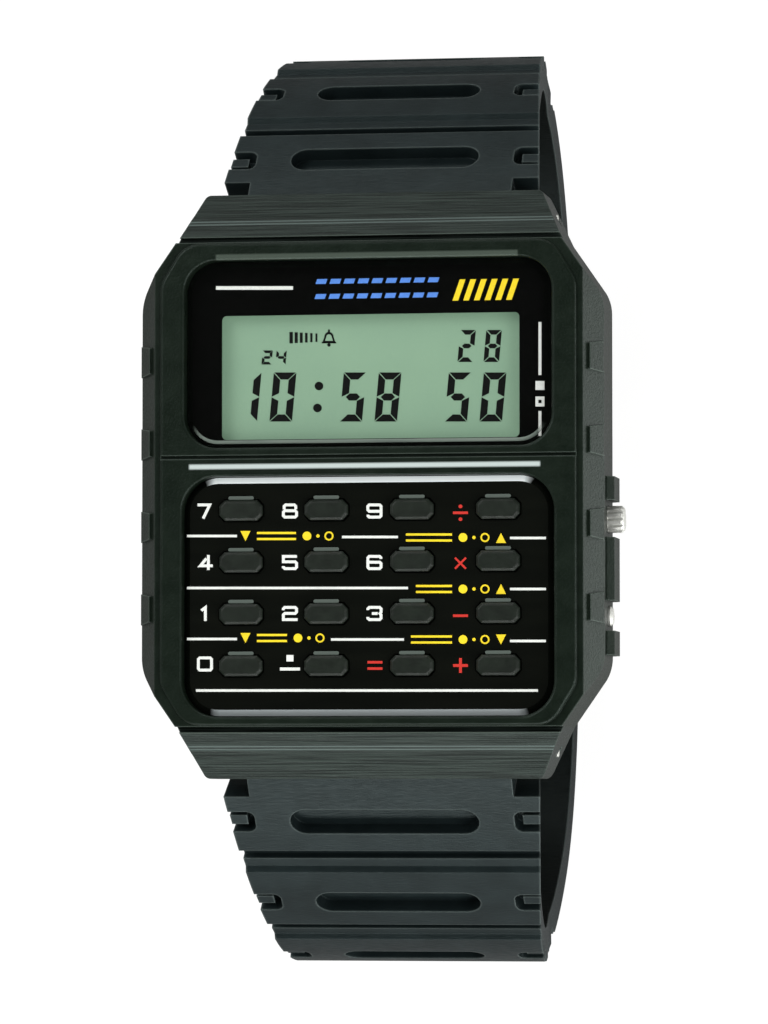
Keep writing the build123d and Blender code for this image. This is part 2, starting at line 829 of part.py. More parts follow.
with BuildPart() as module_frame:
    with BuildSketch(Plane.XY.offset(frame_bottom)):
        cavity_sketch(inner_gap)
        with Locations((0, battery_y)):
            Circle(battery_radius + inner_gap, mode=Mode.SUBTRACT)
        with Locations((-clip_screw_x, battery_y), (clip_screw_x, battery_y)):
            Circle(clip_screw_radius + running_gap, mode=Mode.SUBTRACT)
        with Locations((0, buzzer_y)):
            Circle(buzzer_spring_radius + free_gap, mode=Mode.SUBTRACT)
        with Locations((chip_x, chip_y)):
            Circle(chip_radius + free_gap, mode=Mode.SUBTRACT)
        with Locations((quartz_x, quartz_y)):
            Rectangle(
                quartz_length + 2 * free_gap, 2 * (quartz_radius + free_gap), mode=Mode.SUBTRACT
            )
        with Locations((trimmer_x, trimmer_y)):
            Circle(trimmer_radius + free_gap, mode=Mode.SUBTRACT)
    extrude(amount=board_bottom - frame_bottom)
    clear_the_pushers()
module_frame.part.label = "module_frame"
export_step(module_frame.part, "parts/module_frame.step")

with BuildPart() as chip_cover:
    with BuildSketch(Plane.XY.offset(board_bottom)):
        with Locations((chip_x, chip_y)):
            Circle(chip_radius)
    extrude(amount=-chip_height)
    fillet(chip_cover.faces().sort_by(Axis.Z)[0].edges(), chip_dome)
chip_cover.part.label = "chip_cover"
export_step(chip_cover.part, "parts/chip_cover.step")

with BuildPart() as quartz_can:
    with BuildSketch(Plane.YZ.offset(quartz_x - quartz_length / 2)):
        with Locations((quartz_y, board_bottom - quartz_radius - seat_gap)):
            Circle(quartz_radius)
    extrude(amount=quartz_length)
quartz_can.part.label = "quartz_can"
export_step(quartz_can.part, "parts/quartz_can.step")

with BuildPart() as trimmer_capacitor:
    with BuildSketch(Plane.XY.offset(board_bottom)):
        with Locations((trimmer_x, trimmer_y)):
            Circle(trimmer_radius)
    extrude(amount=-trimmer_height)
    with BuildSketch(Plane.XY.offset(board_bottom - trimmer_height)):
        with Locations((trimmer_x, trimmer_y)):
            Rectangle(2 * trimmer_radius - 2 * trimmer_slot_width, trimmer_slot_width)
    extrude(amount=trimmer_slot_width, mode=Mode.SUBTRACT)
trimmer_capacitor.part.label = "trimmer_capacitor"
export_step(trimmer_capacitor.part, "parts/trimmer_capacitor.step")

with BuildPart() as battery:
    with BuildSketch(Plane.XY.offset(battery_bottom)):
        with Locations((0, battery_y)):
            Circle(battery_radius)
    extrude(amount=battery_height - battery_rim_step)
    with BuildSketch(Plane.XY.offset(battery_bottom)):
        with Locations((0, battery_y)):
            Circle(battery_radius - battery_rim)
    extrude(amount=battery_height)
battery.part.label = "battery"
export_step(battery.part, "parts/battery.step")

with BuildPart() as battery_contact:
    with BuildSketch(Plane.XY.offset(board_bottom)):
        with Locations((0, battery_y)):
            Rectangle(contact_length, contact_width)
    extrude(amount=-slip_gap)
battery_contact.part.label = "battery_contact"
export_step(battery_contact.part, "parts/battery_contact.step")

clip_low = battery_bottom - clip_sheet
clip_high = frame_bottom - clip_sheet
with BuildPart() as battery_clip:
    with BuildSketch(Plane.XZ.offset(-battery_y)):
        with BuildLine():
            Polyline(
                (-clip_half_length, clip_high),
                (-clip_bend_outer, clip_high),
                (-clip_bend_inner, clip_low),
                (clip_bend_inner, clip_low),
                (clip_bend_outer, clip_high),
                (clip_half_length, clip_high),
                (clip_half_length, clip_high + clip_sheet),
                (clip_bend_outer, clip_high + clip_sheet),
                (clip_bend_inner, clip_low + clip_sheet),
                (-clip_bend_inner, clip_low + clip_sheet),
                (-clip_bend_outer, clip_high + clip_sheet),
                (-clip_half_length, clip_high + clip_sheet),
                close=True,
            )
        make_face()
    extrude(amount=clip_width / 2, both=True)
    with BuildSketch(Plane.XY.offset(clip_low)):
        with Locations((-clip_screw_x, battery_y), (clip_screw_x, battery_y)):
            Circle(clip_screw_radius + running_gap)
    extrude(amount=frame_bottom, mode=Mode.SUBTRACT)
battery_clip.part.label = "battery_clip"
export_step(battery_clip.part, "parts/battery_clip.step")

with BuildPart() as module_screws:
    with Locations((-clip_screw_x, battery_y, clip_high), (clip_screw_x, battery_y, clip_high)):
        Cylinder(
            clip_screw_head_radius,
            clip_screw_head_height,
            align=(Align.CENTER, Align.CENTER, Align.MAX),
        )
        Cylinder(
            clip_screw_radius,
            board_top - clip_high,
            align=(Align.CENTER, Align.CENTER, Align.MIN),
        )
module_screws.part.label = "module_screws"
export_step(module_screws.part, "parts/module_screws.step")

with BuildPart() as buzzer_disc:
    with BuildSketch(Plane.XY.offset(back_thickness)):
        with Locations((0, buzzer_y)):
            Circle(buzzer_radius)
    extrude(amount=buzzer_thickness)
buzzer_disc.part.label = "buzzer_disc"
export_step(buzzer_disc.part, "parts/buzzer_disc.step")

with BuildPart() as buzzer_spring:
    with BuildSketch(Plane.XY.offset(back_thickness + buzzer_thickness)):
        with Locations((0, buzzer_y)):
            Circle(buzzer_spring_radius)
            Circle(buzzer_spring_radius - buzzer_spring_wall, mode=Mode.SUBTRACT)
    extrude(amount=board_bottom - back_thickness - buzzer_thickness)
buzzer_spring.part.label = "buzzer_spring"
export_step(buzzer_spring.part, "parts/buzzer_spring.step")

with BuildPart() as insulator_sheet:
    with BuildSketch(Plane.XY.offset(insulator_bottom)):
        cavity_sketch(inner_gap)
        with Locations((0, buzzer_y)):
            Circle(buzzer_radius + free_gap, mode=Mode.SUBTRACT)
    extrude(amount=insulator_thickness)
insulator_sheet.part.label = "insulator_sheet"
export_step(insulator_sheet.part, "parts/insulator_sheet.step")


def pusher_disc(place_y, start, end, radius, bore=0, mode=Mode.ADD):
    """Add a round stretch of a pusher between two places along its axis."""
    with BuildSketch(Plane.YZ.offset(start)) as section:
        with Locations((place_y, pusher_z)):
            Circle(radius)
            if bore:
                Circle(bore, mode=Mode.SUBTRACT)
    extrude(section.sketch, amount=end - start, mode=mode)


# Side pushers: each a steel pin with a head outside, a seal in the bore and a clip inside
clip_start = pusher_inner_end + pusher_clip_sheet
seal_start = pusher_seal_x - pusher_seal_width / 2
pusher_sizes = (
    ("mode_pusher", mode_y, mode_head_radius, case_half_width + mode_head_out),
    ("adjust_pusher", adjust_y, adjust_head_radius, case_half_width + adjust_head_out),
)
for name, place_y, head_radius, head_end in pusher_sizes:
    with BuildPart() as pusher:
        pusher_disc(place_y, pusher_inner_end, pusher_head_start, pusher_shaft_radius)
        pusher_disc(place_y, pusher_head_start, head_end, head_radius)
        chamfer(pusher.faces().sort_by(Axis.X)[-1].edges(), pusher_dome)
        for start, width in ((clip_start, pusher_clip_sheet), (seal_start, pusher_seal_width)):
            pusher_disc(
                place_y,
                start,
                start + width,
                pusher_shaft_radius,
                bore=pusher_neck_radius,
                mode=Mode.SUBTRACT,
            )
        if name == "mode_pusher":
            with BuildSketch(Plane.YZ.offset(case_half_width)):
                with Locations((place_y, pusher_z)):
                    with PolarLocations(head_radius, mode_flutes):
                        Circle(flute_radius)
            extrude(amount=case_half_width, mode=Mode.SUBTRACT)
    pusher.part.label = name
    export_step(pusher.part, f"parts/{name}.step")

    with BuildPart() as pusher_seal:
        pusher_disc(
            place_y,
            seal_start,
            seal_start + pusher_seal_width,
            pusher_shaft_radius + running_gap / 2,
            bore=pusher_neck_radius,
        )
    pusher_seal.part.label = f"{name}_seal"
    export_step(pusher_seal.part, f"parts/{name}_seal.step")

    with BuildPart() as pusher_clip:
        pusher_disc(
            place_y,
            clip_start,
            clip_start + pusher_clip_sheet,
            pusher_clip_radius,
            bore=pusher_neck_radius,
        )
        with BuildSketch(Plane.YZ.offset(clip_start)):
            with Locations((place_y, pusher_z)):
                Rectangle(
                    pusher_neck_radius, pusher_clip_radius, align=(Align.CENTER, Align.MAX)
                )
        extrude(amount=pusher_clip_sheet, mode=Mode.SUBTRACT)
    pusher_clip.part.label = f"{name}_clip"
    export_step(pusher_clip.part, f"parts/{name}_clip.step")

with BuildPart() as pusher_springs:
    for name, place_y, head_radius, head_end in pusher_sizes:
        pusher_disc(
            place_y,
            pusher_room_start,
            pusher_head_start,
            head_radius - running_gap,
            bore=pusher_shaft_radius + running_gap,
        )
pusher_springs.part.label = "pusher_springs"
export_step(pusher_springs.part, "parts/pusher_springs.step")

# Spring bars: two tubes, a spring in each, and a sprung tip at every end
bar_sides = (("upper", 1), ("lower", -1))
bar_bore = bar_tube_radius - bar_tube_wall
shoulder_end = bar_tube_half_length - running_gap
with BuildPart() as spring_bar_tubes:
    for name, side in bar_sides:
        with BuildSketch(Plane.YZ):
            with Locations((side * bar_y, bar_z)):
                Circle(bar_tube_radius)
                Circle(bar_bore, mode=Mode.SUBTRACT)
        extrude(amount=bar_tube_half_length, both=True)
spring_bar_tubes.part.label = "spring_bar_tubes"
export_step(spring_bar_tubes.part, "parts/spring_bar_tubes.step")

with BuildPart() as spring_bar_springs:
    for name, side in bar_sides:
        with BuildSketch(Plane.YZ):
            with Locations((side * bar_y, bar_z)):
                Circle(bar_bore - running_gap)
        extrude(amount=shoulder_end - bar_tip_shoulder_length, both=True)
spring_bar_springs.part.label = "spring_bar_springs"
export_step(spring_bar_springs.part, "parts/spring_bar_springs.step")

for name, side in bar_sides:
    for end_name, end in (("right", 1), ("left", -1)):
        with BuildPart() as tip:
            with BuildSketch(Plane.YZ.offset(end * (shoulder_end - bar_tip_shoulder_length))):
                with Locations((side * bar_y, bar_z)):
                    Circle(bar_bore - running_gap)
            extrude(amount=end * bar_tip_shoulder_length)
            with BuildSketch(Plane.YZ.offset(end * shoulder_end)):
                with Locations((side * bar_y, bar_z)):
                    Circle(bar_tip_radius)
            extrude(amount=end * (bar_tip_end - shoulder_end))
        tip.part.label = f"spring_bar_tip_{name}_{end_name}"
        export_step(tip.part, f"parts/spring_bar_tip_{name}_{end_name}.step")


# Strap: places along it are a distance from the spring bar along the band's middle line
# and a height from that line towards the outside. Side 1 is the upper half, -1 the lower.
def band_links(side):
    """Length and bend of each link of a strap half, then a straight run without an end."""
    turns = upper_turns_degrees if side > 0 else lower_turns_degrees
    lengths = [first_link_length] + [link_length] * (len(turns) - 1)
    return list(zip(lengths, turns)) + [(float("inf"), 0)]


def band_place(distance, side):
    """Reach outwards, height and downward slope of the middle line at a distance."""
    reach, height, slope = bar_y, bar_z, strap_slope_degrees
    left = distance
    for length, turn in band_links(side):
        step = min(left, length)
        bend = turn * step / length
        half_bend = radians(bend / 2)
        chord = step * sin(half_bend) / half_bend if bend else step
        reach += chord * cos(radians(slope) + half_bend)
        height -= chord * sin(radians(slope) + half_bend)
        slope += bend
        left -= step
    return reach, height, slope


def band_point(distance, height, side):
    """Point of the strap's side view, as (Y, Z)."""
    reach, middle_height, slope = band_place(distance, side)
    return (
        side * (reach + height * sin(radians(slope))),
        middle_height + height * cos(radians(slope)),
    )


def band_plane(distance, height, side):
    """Plane lying on the strap's outside, X across the strap."""
    place_y, place_z = band_point(distance, height, side)
    slope = radians(band_place(distance, side)[2])
    return Plane(
        origin=(0, place_y, place_z), x_dir=(1, 0, 0), z_dir=(0, side * sin(slope), cos(slope))
    )


def follow(start, end, height, side):
    """Draw the strap's side view between two distances of one link, at a steady height."""
    middle = (start + end) / 2
    if band_place(start, side)[2] == band_place(end, side)[2]:
        Line(band_point(start, height, side), band_point(end, height, side))
    else:
        ThreePointArc(
            band_point(start, height, side),
            band_point(middle, height, side),
            band_point(end, height, side),
        )


def band_sector(start, end, low, high, side):
    """Side view of a stretch of the band between two heights."""
    with BuildLine() as sector:
        follow(start, end, high, side)
        Line(band_point(end, high, side), band_point(end, low, side))
        follow(end, start, low, side)
        Line(band_point(start, low, side), band_point(start, high, side))
    make_face(sector.edges())


def cut_points(length, side):
    """Link ends along a strap half, and the half's own end."""
    ends = [0]
    for link, turn in band_links(side):
        ends.append(ends[-1] + link)
    return [end for end in ends if end < length] + [length]


def band_outline(length, side):
    """Side view of a strap half: pads, grooves and ribs outside, smooth inside."""
    half = strap_thickness / 2
    floor = half - groove_depth
    stops = cut_points(length, side)
    outside = []
    for index, (start, end) in enumerate(zip(stops, stops[1:])):
        patterned_start = 0 < index <= patterned_links
        patterned_end = index < patterned_links
        if patterned_start:
            outside.append((start + rib_start, start + rib_end, half - rib_drop))
            pad_start = start + groove_after
        else:
            pad_start = start
        pad_end = end - groove_before if patterned_end else end
        outside.append((pad_start, pad_end, half))
        if patterned_end:
            outside.append((pad_end + groove_slant, end, floor))
    with BuildLine() as outline:
        last = None
        for start, end, height in outside:
            first = band_point(start, height, side)
            if last and (Vector(*first) - Vector(*last)).length > running_gap / 2:
                Line(last, first)
            follow(start, end, height, side)
            last = band_point(end, height, side)
        Line(last, band_point(length, -half, side))
        for start, end in reversed(list(zip(stops, stops[1:]))):
            follow(end, start, -half, side)
        Line(band_point(0, -half, side), band_point(0, half, side))
    make_face(outline.edges())


def strap_width_view():
    """Front view that both strap halves are trimmed to: wide at the case, narrow below."""
    lowest = -link_length * len(upper_turns_degrees)
    Polygon(
        (strap_start_half, strap_start_z + strap_root_radius),
        (strap_start_half, strap_start_z),
        (strap_middle_half, strap_middle_z),
        (strap_end_half, strap_end_z),
        (strap_end_half, lowest),
        (-strap_end_half, lowest),
        (-strap_end_half, strap_end_z),
        (-strap_middle_half, strap_middle_z),
        (-strap_start_half, strap_start_z),
        (-strap_start_half, strap_start_z + strap_root_radius),
        align=None,
    )


def strap_half_width(distance, side):
    """Half the strap's width at a distance, from the front view."""
    height = band_point(distance, strap_thickness / 2, side)[1]
    upper_share = (strap_start_z - height) / (strap_start_z - strap_middle_z)
    lower_share = (strap_middle_z - height) / (strap_middle_z - strap_end_z)
    return (
        strap_start_half
        + (strap_middle_half - strap_start_half) * min(max(upper_share, 0), 1)
        + (strap_end_half - strap_middle_half) * min(max(lower_share, 0), 1)
    )


def strap_body(length, side):
    """The moulded band of one strap half, with its root, slots and edge notches."""
    with BuildSketch(Plane.YZ) as side_view:
        band_outline(length, side)
        with Locations((side * bar_y, bar_z)):
            Circle(strap_root_radius)
    extrude(side_view.sketch, amount=strap_start_half, both=True)
    # The root is narrower, to fit between the cheeks of the case
    for end in (1, -1):
        with BuildSketch(Plane.YZ.offset(end * strap_root_half)) as beside_root:
            band_sector(0, strap_root_length, -strap_thickness, strap_thickness, side)
            with Locations((side * bar_y, bar_z)):
                Circle(strap_root_length - free_gap)
        extrude(beside_root.sketch, amount=end * strap_start_half, mode=Mode.SUBTRACT)
    with BuildSketch(Plane.YZ) as bar_bore_view:
        with Locations((side * bar_y, bar_z)):
            Circle(bar_tube_radius + running_gap)
    extrude(bar_bore_view.sketch, amount=strap_start_half, both=True, mode=Mode.SUBTRACT)
    # A long slot and a notch at each edge in every patterned pad
    for link_end in cut_points(length, side)[1 : patterned_links + 1]:
        distance = link_end - groove_before - slot_inset
        surface = band_plane(distance, strap_thickness / 2, side)
        edge_half = strap_half_width(distance, side)
        with BuildSketch(surface.offset(-recess_depth)) as recesses:
            SlotOverall(2 * (edge_half - slot_edge_margin), slot_width)
            with Locations((edge_half, 0), (-edge_half, 0)):
                RectangleRounded(2 * notch_reach, notch_width, notch_corner_radius)
        extrude(recesses.sketch, amount=recess_depth + overrun, mode=Mode.SUBTRACT)
        with BuildSketch(surface.offset(-recess_depth)) as nubs:
            with Locations((edge_half, 0), (-edge_half, 0)):
                Rectangle(2 * nub_reach, nub_width)
        extrude(nubs.sketch, amount=recess_depth - nub_drop)
    with BuildSketch(Plane.XZ) as front_view:
        strap_width_view()
    extrude(
        front_view.sketch,
        amount=case_half_length + 2 * link_length,
        both=True,
        mode=Mode.INTERSECT,
    )


pin_y, pin_z = band_point(upper_length, 0, 1)
with BuildPart() as strap_upper:
    strap_body(upper_length, 1)
    # Eye for the buckle pin, open in the middle for the tongue
    with BuildSketch(Plane.YZ):
        with Locations((pin_y, pin_z)):
            Circle(buckle_eye_radius)
    extrude(amount=strap_end_half, both=True)
    with BuildSketch(Plane.YZ):
        with Locations((pin_y, pin_z)):
            Circle(pin_radius + running_gap)
    extrude(amount=strap_start_half, both=True, mode=Mode.SUBTRACT)
    with BuildSketch(Plane.YZ):
        with Locations((pin_y, pin_z)):
            Circle(tongue_room_length)
    extrude(amount=tongue_room_half, both=True, mode=Mode.SUBTRACT)
strap_upper.part.label = "strap_upper"
export_step(strap_upper.part, "parts/strap_upper.step")

# The lower half ends a gap short of the buckle's far edge
curl_end = first_link_length + link_length * (len(lower_turns_degrees) - 1)
buckle_end_y = band_plane(upper_length, 0, 1).from_local_coords(Vector(0, buckle_length, 0)).Y
lower_length = curl_end + band_place(curl_end, -1)[0] + buckle_end_y - strap_ends_gap
strap_tip_radius = strap_end_half + tip_radius_excess
with BuildPart() as strap_lower:
    strap_body(lower_length, -1)
    # Adjusting holes
    for index in range(hole_count):
        distance = lower_length - hole_tip_distance - hole_pitch * index
        with BuildSketch(band_plane(distance, strap_thickness, -1)):
            SlotOverall(hole_length, hole_width)
        extrude(amount=-2 * strap_thickness, mode=Mode.SUBTRACT)
    # Rounded free end
    with BuildSketch(band_plane(lower_length, strap_thickness, -1)):
        Rectangle(
            2 * strap_end_half + overrun, strap_tip_radius, align=(Align.CENTER, Align.MIN)
        )
        with Locations((0, strap_tip_radius)):
            Circle(strap_tip_radius, mode=Mode.SUBTRACT)
    extrude(amount=-2 * strap_thickness, mode=Mode.SUBTRACT)
strap_lower.part.label = "strap_lower"
export_step(strap_lower.part, "parts/strap_lower.step")

# Keeper: a resin loop round the upper strap with room for the free end
keeper_start = keeper_middle - keeper_length / 2
keeper_end = keeper_middle + keeper_length / 2
keeper_low = -strap_thickness / 2 - inner_gap
keeper_high = strap_thickness / 2 + keeper_room
keeper_half = strap_end_half + inner_gap
with BuildPart() as strap_keeper:
    with BuildSketch(Plane.YZ):
        band_sector(keeper_start, keeper_end, keeper_low - keeper_wall, keeper_high + keeper_wall, 1)
    extrude(amount=keeper_half + keeper_wall, both=True)
    with BuildSketch(Plane.YZ):
        band_sector(keeper_start - overrun, keeper_end + overrun, keeper_low, keeper_high, 1)
    extrude(amount=keeper_half, both=True, mode=Mode.SUBTRACT)
strap_keeper.part.label = "strap_keeper"
export_step(strap_keeper.part, "parts/strap_keeper.step")

# Buckle: a steel frame in line with the strap's end, its tongue on the outside
buckle_plane = band_plane(upper_length, 0, 1)
with BuildPart() as buckle_frame:
    with BuildSketch(buckle_plane.offset(-buckle_half_height)) as frame_view:
        with Locations((0, buckle_length)):
            Rectangle(
                buckle_width, buckle_length + buckle_back, align=(Align.CENTER, Align.MAX)
            )
        fillet(frame_view.vertices().group_by(Axis.Y)[-1], buckle_corner_radius)
        with Locations((0, buckle_length - buckle_bar)):
            Rectangle(
                buckle_width - 2 * buckle_arm,
                buckle_length + buckle_back,
                align=(Align.CENTER, Align.MAX),
                mode=Mode.SUBTRACT,
            )
    extrude(amount=2 * buckle_half_height)
    with BuildSketch(Plane.YZ):
        with Locations((pin_y, pin_z)):
            Circle(pin_radius + running_gap)
    extrude(amount=buckle_width, both=True, mode=Mode.SUBTRACT)
    # Rest for the tongue's tip
    with BuildSketch(buckle_plane.offset(buckle_half_height - tongue_height - seat_gap)):
        with Locations((0, buckle_length)):
            Rectangle(tongue_width + 2 * slip_gap, 3 * buckle_bar)
    extrude(amount=tongue_height + overrun, mode=Mode.SUBTRACT)
buckle_frame.part.label = "buckle_frame"
export_step(buckle_frame.part, "parts/buckle_frame.step")

with BuildPart() as buckle_tongue:
    with BuildSketch(buckle_plane.offset(buckle_half_height - tongue_height)):
        Rectangle(tongue_width, buckle_length - free_gap, align=(Align.CENTER, Align.MIN))
    extrude(amount=tongue_height)
    with BuildSketch(Plane.YZ):
        with Locations((pin_y, pin_z)):
            Circle(tongue_eye_radius)
    extrude(amount=tongue_width / 2, both=True)
    with BuildSketch(Plane.YZ):
        with Locations((pin_y, pin_z)):
            Circle(pin_radius + running_gap)
    extrude(amount=tongue_width, both=True, mode=Mode.SUBTRACT)
buckle_tongue.part.label = "buckle_tongue"
export_step(buckle_tongue.part, "parts/buckle_tongue.step")

with BuildPart() as buckle_pin:
    with BuildSketch(Plane.YZ):
        with Locations((pin_y, pin_z)):
            Circle(pin_radius)
    extrude(amount=pin_half_length, both=True)
buckle_pin.part.label = "buckle_pin"
export_step(buckle_pin.part, "parts/buckle_pin.step")
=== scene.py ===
from math import cos, pi, radians, sin

import bmesh
import bpy
from mathutils import Matrix, Vector


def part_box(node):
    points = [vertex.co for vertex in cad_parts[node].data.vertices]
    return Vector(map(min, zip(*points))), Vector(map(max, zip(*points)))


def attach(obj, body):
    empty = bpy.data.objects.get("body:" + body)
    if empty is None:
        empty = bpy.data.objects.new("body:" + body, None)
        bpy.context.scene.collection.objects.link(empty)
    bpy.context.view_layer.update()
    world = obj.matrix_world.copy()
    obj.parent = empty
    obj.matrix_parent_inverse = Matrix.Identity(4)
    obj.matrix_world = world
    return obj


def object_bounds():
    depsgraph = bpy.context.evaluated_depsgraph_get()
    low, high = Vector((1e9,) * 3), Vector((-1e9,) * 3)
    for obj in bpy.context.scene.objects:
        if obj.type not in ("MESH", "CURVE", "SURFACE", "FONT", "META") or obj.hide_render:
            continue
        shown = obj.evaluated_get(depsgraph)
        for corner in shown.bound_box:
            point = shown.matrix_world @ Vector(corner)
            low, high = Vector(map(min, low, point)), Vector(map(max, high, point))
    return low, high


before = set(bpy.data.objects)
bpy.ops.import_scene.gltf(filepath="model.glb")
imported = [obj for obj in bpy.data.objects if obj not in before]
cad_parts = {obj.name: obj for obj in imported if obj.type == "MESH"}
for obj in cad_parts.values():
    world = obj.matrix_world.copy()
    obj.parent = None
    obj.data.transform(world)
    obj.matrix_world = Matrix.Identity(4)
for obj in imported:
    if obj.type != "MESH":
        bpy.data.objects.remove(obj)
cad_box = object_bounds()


# ---- Studio ----
# A plain pale floor under the watch, soft lamps low on all sides and a dark ceiling over
# the camera, which keeps the glossy panels black. The camera stands where the photograph's did.
scene = bpy.context.scene
scene.view_settings.view_transform = "Standard"
# The camera, fitted to the photograph in a frame of 768 by 1024 pixels
photo_centre = (384, 512)
focal_pixels = 5441.36
lens_length = 191.298  # in millimetres, the same focal length on Blender's sensor
camera_place = Vector((0.063783, -0.023039, 0.399631))
camera_target = Vector((0.001285, -0.002174, 0.0082))
forward = (camera_target - camera_place).normalized()
right = forward.cross(Vector((0, 1, 0))).normalized()
up = right.cross(forward)
camera_data = bpy.data.cameras.new("camera")
camera_data.lens = lens_length
camera_data.clip_start = 0.01
camera = bpy.data.objects.new("camera", camera_data)
scene.collection.objects.link(camera)
camera.matrix_world = (
    Matrix.Translation(camera_place) @ Matrix((right, up, -forward)).transposed().to_4x4()
)
scene.camera = camera


def fill(tree, node, inputs):
    """Sets a node's sockets to values, or joins them to other nodes' sockets."""
    for socket, value in inputs.items():
        if isinstance(value, bpy.types.NodeSocket):
            tree.links.new(value, node.inputs[socket])
        else:
            node.inputs[socket].default_value = value


def add(tree, kind, inputs=(), **settings):
    """A new node with its settings made and its sockets set or joined."""
    node = tree.nodes.new(kind)
    for name, value in settings.items():
        setattr(node, name, value)
    fill(tree, node, dict(inputs))
    return node


def calculate(tree, operation, *values):
    """The result of one operation on one or two values."""
    return add(tree, "ShaderNodeMath", enumerate(values), operation=operation).outputs[0]


def ramp(tree, value, start, end, low=0.0, high=1.0, **settings):
    """A value that goes from low to high as another goes from start to end."""
    return add(tree, "ShaderNodeMapRange", {"Value": value, "From Min": start, "From Max": end,
               "To Min": low, "To Max": high}, **settings).outputs[0]


def mix(tree, share, first, second):
    """The first value where the share is 0, the second where it is 1."""
    return add(tree, "ShaderNodeMix", {"Factor": share, 2: first, 3: second}).outputs[0]


def mix_colour(tree, share, first, second):
    """The first colour where the share is 0, the second where it is 1."""
    return add(tree, "ShaderNodeMix", {"Factor": share, 6: first, 7: second},
               data_type="RGBA").outputs[2]


def linear(colour):
    """An sRGB hex colour as linear red, green, blue and alpha."""
    shares = [int(colour[start : start + 2], 16) / 255 for start in (1, 3, 5)]
    return tuple(
        share / 12.92 if share <= 0.04045 else ((share + 0.055) / 1.055) ** 2.4
        for share in shares
    ) + (1,)


def lamp(name, place, size_x, size_y, watts):
    """A soft lamp at a place, turned to the watch."""
    data = bpy.data.lights.new(name, "AREA")
    data.shape = "RECTANGLE"
    data.size, data.size_y, data.energy = size_x, size_y, watts
    light = bpy.data.objects.new(name, data)
    light.location = place
    light.rotation_euler = (-Vector(place)).to_track_quat("-Z", "Y").to_euler()
    scene.collection.objects.link(light)


lamp("lamp_right", (0.50, -0.30, 0.42), 0.40, 0.40, 3.0)
lamp("lamp_left", (-0.42, 0.34, 0.55), 0.45, 0.45, 2.6)
lamp("lamp_twelve", (-0.05, 0.60, 0.10), 0.60, 0.12, 0.7)
lamp("lamp_six", (0.05, -0.60, 0.16), 0.60, 0.16, 2.0)

# Around the watch: even light for what is matte, and for what is glossy, walls that darken
# towards the ceiling. The eye sees plain white.
matte_light = 0.62
wall_light, ceiling_light = 0.5, 0.02
ceiling_start, ceiling_end = 0.3, 0.72
world = bpy.data.worlds.new("studio")
world.use_nodes = True
scene.world = world
tree = world.node_tree
tree.nodes.clear()
path = add(tree, "ShaderNodeLightPath").outputs
seen = calculate(tree, "MAXIMUM", path["Is Camera Ray"], path["Is Transmission Ray"])
direction = add(tree, "ShaderNodeTexCoord").outputs["Generated"]
height = add(tree, "ShaderNodeSeparateXYZ", {0: direction}).outputs["Z"]
ceiling = ramp(tree, height, ceiling_start, ceiling_end, wall_light, ceiling_light,
               interpolation_type="SMOOTHSTEP")
around = mix(tree, path["Is Glossy Ray"], matte_light, ceiling)
background = add(tree, "ShaderNodeBackground", {
    "Color": (1, 1, 1, 1), "Strength": mix(tree, seen, around, 1.0)})
add(tree, "ShaderNodeOutputWorld", {"Surface": background.outputs[0]})

# Floor: white to the eye, with only a part of it lit, so that the watch's shadow stays faint.
# In a gloss it is dark close by, in the watch's own shade, paler at the right and dark beyond
# the twelve o'clock end. A shade is given by where it starts and ends, and its two strengths.
floor_half = 1.5
floor_height = cad_box[0][2]
plain_share, plain_strength = 0.82, 1.06
shade_around = (0.03, 0.14, 0.06, 1.0)
shade_at_right = (0.03, 0.08, 0.35, 4.6)
shade_at_twelve = (0.03, 0.065, 1.0, 0.06)
floor_mesh = bpy.data.meshes.new("floor")
floor_mesh.from_pydata(
    [(x, y, floor_height) for x, y in ((-1, -1), (1, -1), (1, 1), (-1, 1))], [], [(0, 1, 2, 3)]
)
floor_mesh.transform(Matrix.Diagonal((floor_half, floor_half, 1, 1)))
floor = bpy.data.objects.new("floor", floor_mesh)
scene.collection.objects.link(floor)
paper = bpy.data.materials.new("white_paper_floor")
paper.use_nodes = True
tree = paper.node_tree
tree.nodes.clear()
path = add(tree, "ShaderNodeLightPath").outputs
seen = calculate(tree, "MAXIMUM", path["Is Camera Ray"], path["Is Glossy Ray"])
seen = calculate(tree, "MAXIMUM", seen, path["Is Transmission Ray"])
plain = calculate(tree, "MULTIPLY", seen, plain_share)
lit = add(tree, "ShaderNodeBsdfDiffuse", {"Color": linear("#F0F0EE")})
place = add(tree, "ShaderNodeTexCoord").outputs["Object"]
distance = add(tree, "ShaderNodeVectorMath", {0: place}, operation="LENGTH").outputs["Value"]
axes = add(tree, "ShaderNodeSeparateXYZ", {0: place}).outputs
shade = ramp(tree, distance, *shade_around)
for axis, side_shade in (("X", shade_at_right), ("Y", shade_at_twelve)):
    shade = calculate(tree, "MULTIPLY", shade, ramp(tree, axes[axis], *side_shade))
strength = mix(tree, path["Is Glossy Ray"], plain_strength, shade)
white = add(tree, "ShaderNodeEmission", {"Color": (1, 1, 1, 1), "Strength": strength})
floor_mix = add(tree, "ShaderNodeMixShader", {0: plain, 1: lit.outputs[0], 2: white.outputs[0]})
add(tree, "ShaderNodeOutputMaterial", {"Surface": floor_mix.outputs[0]})
floor_mesh.materials.append(paper)


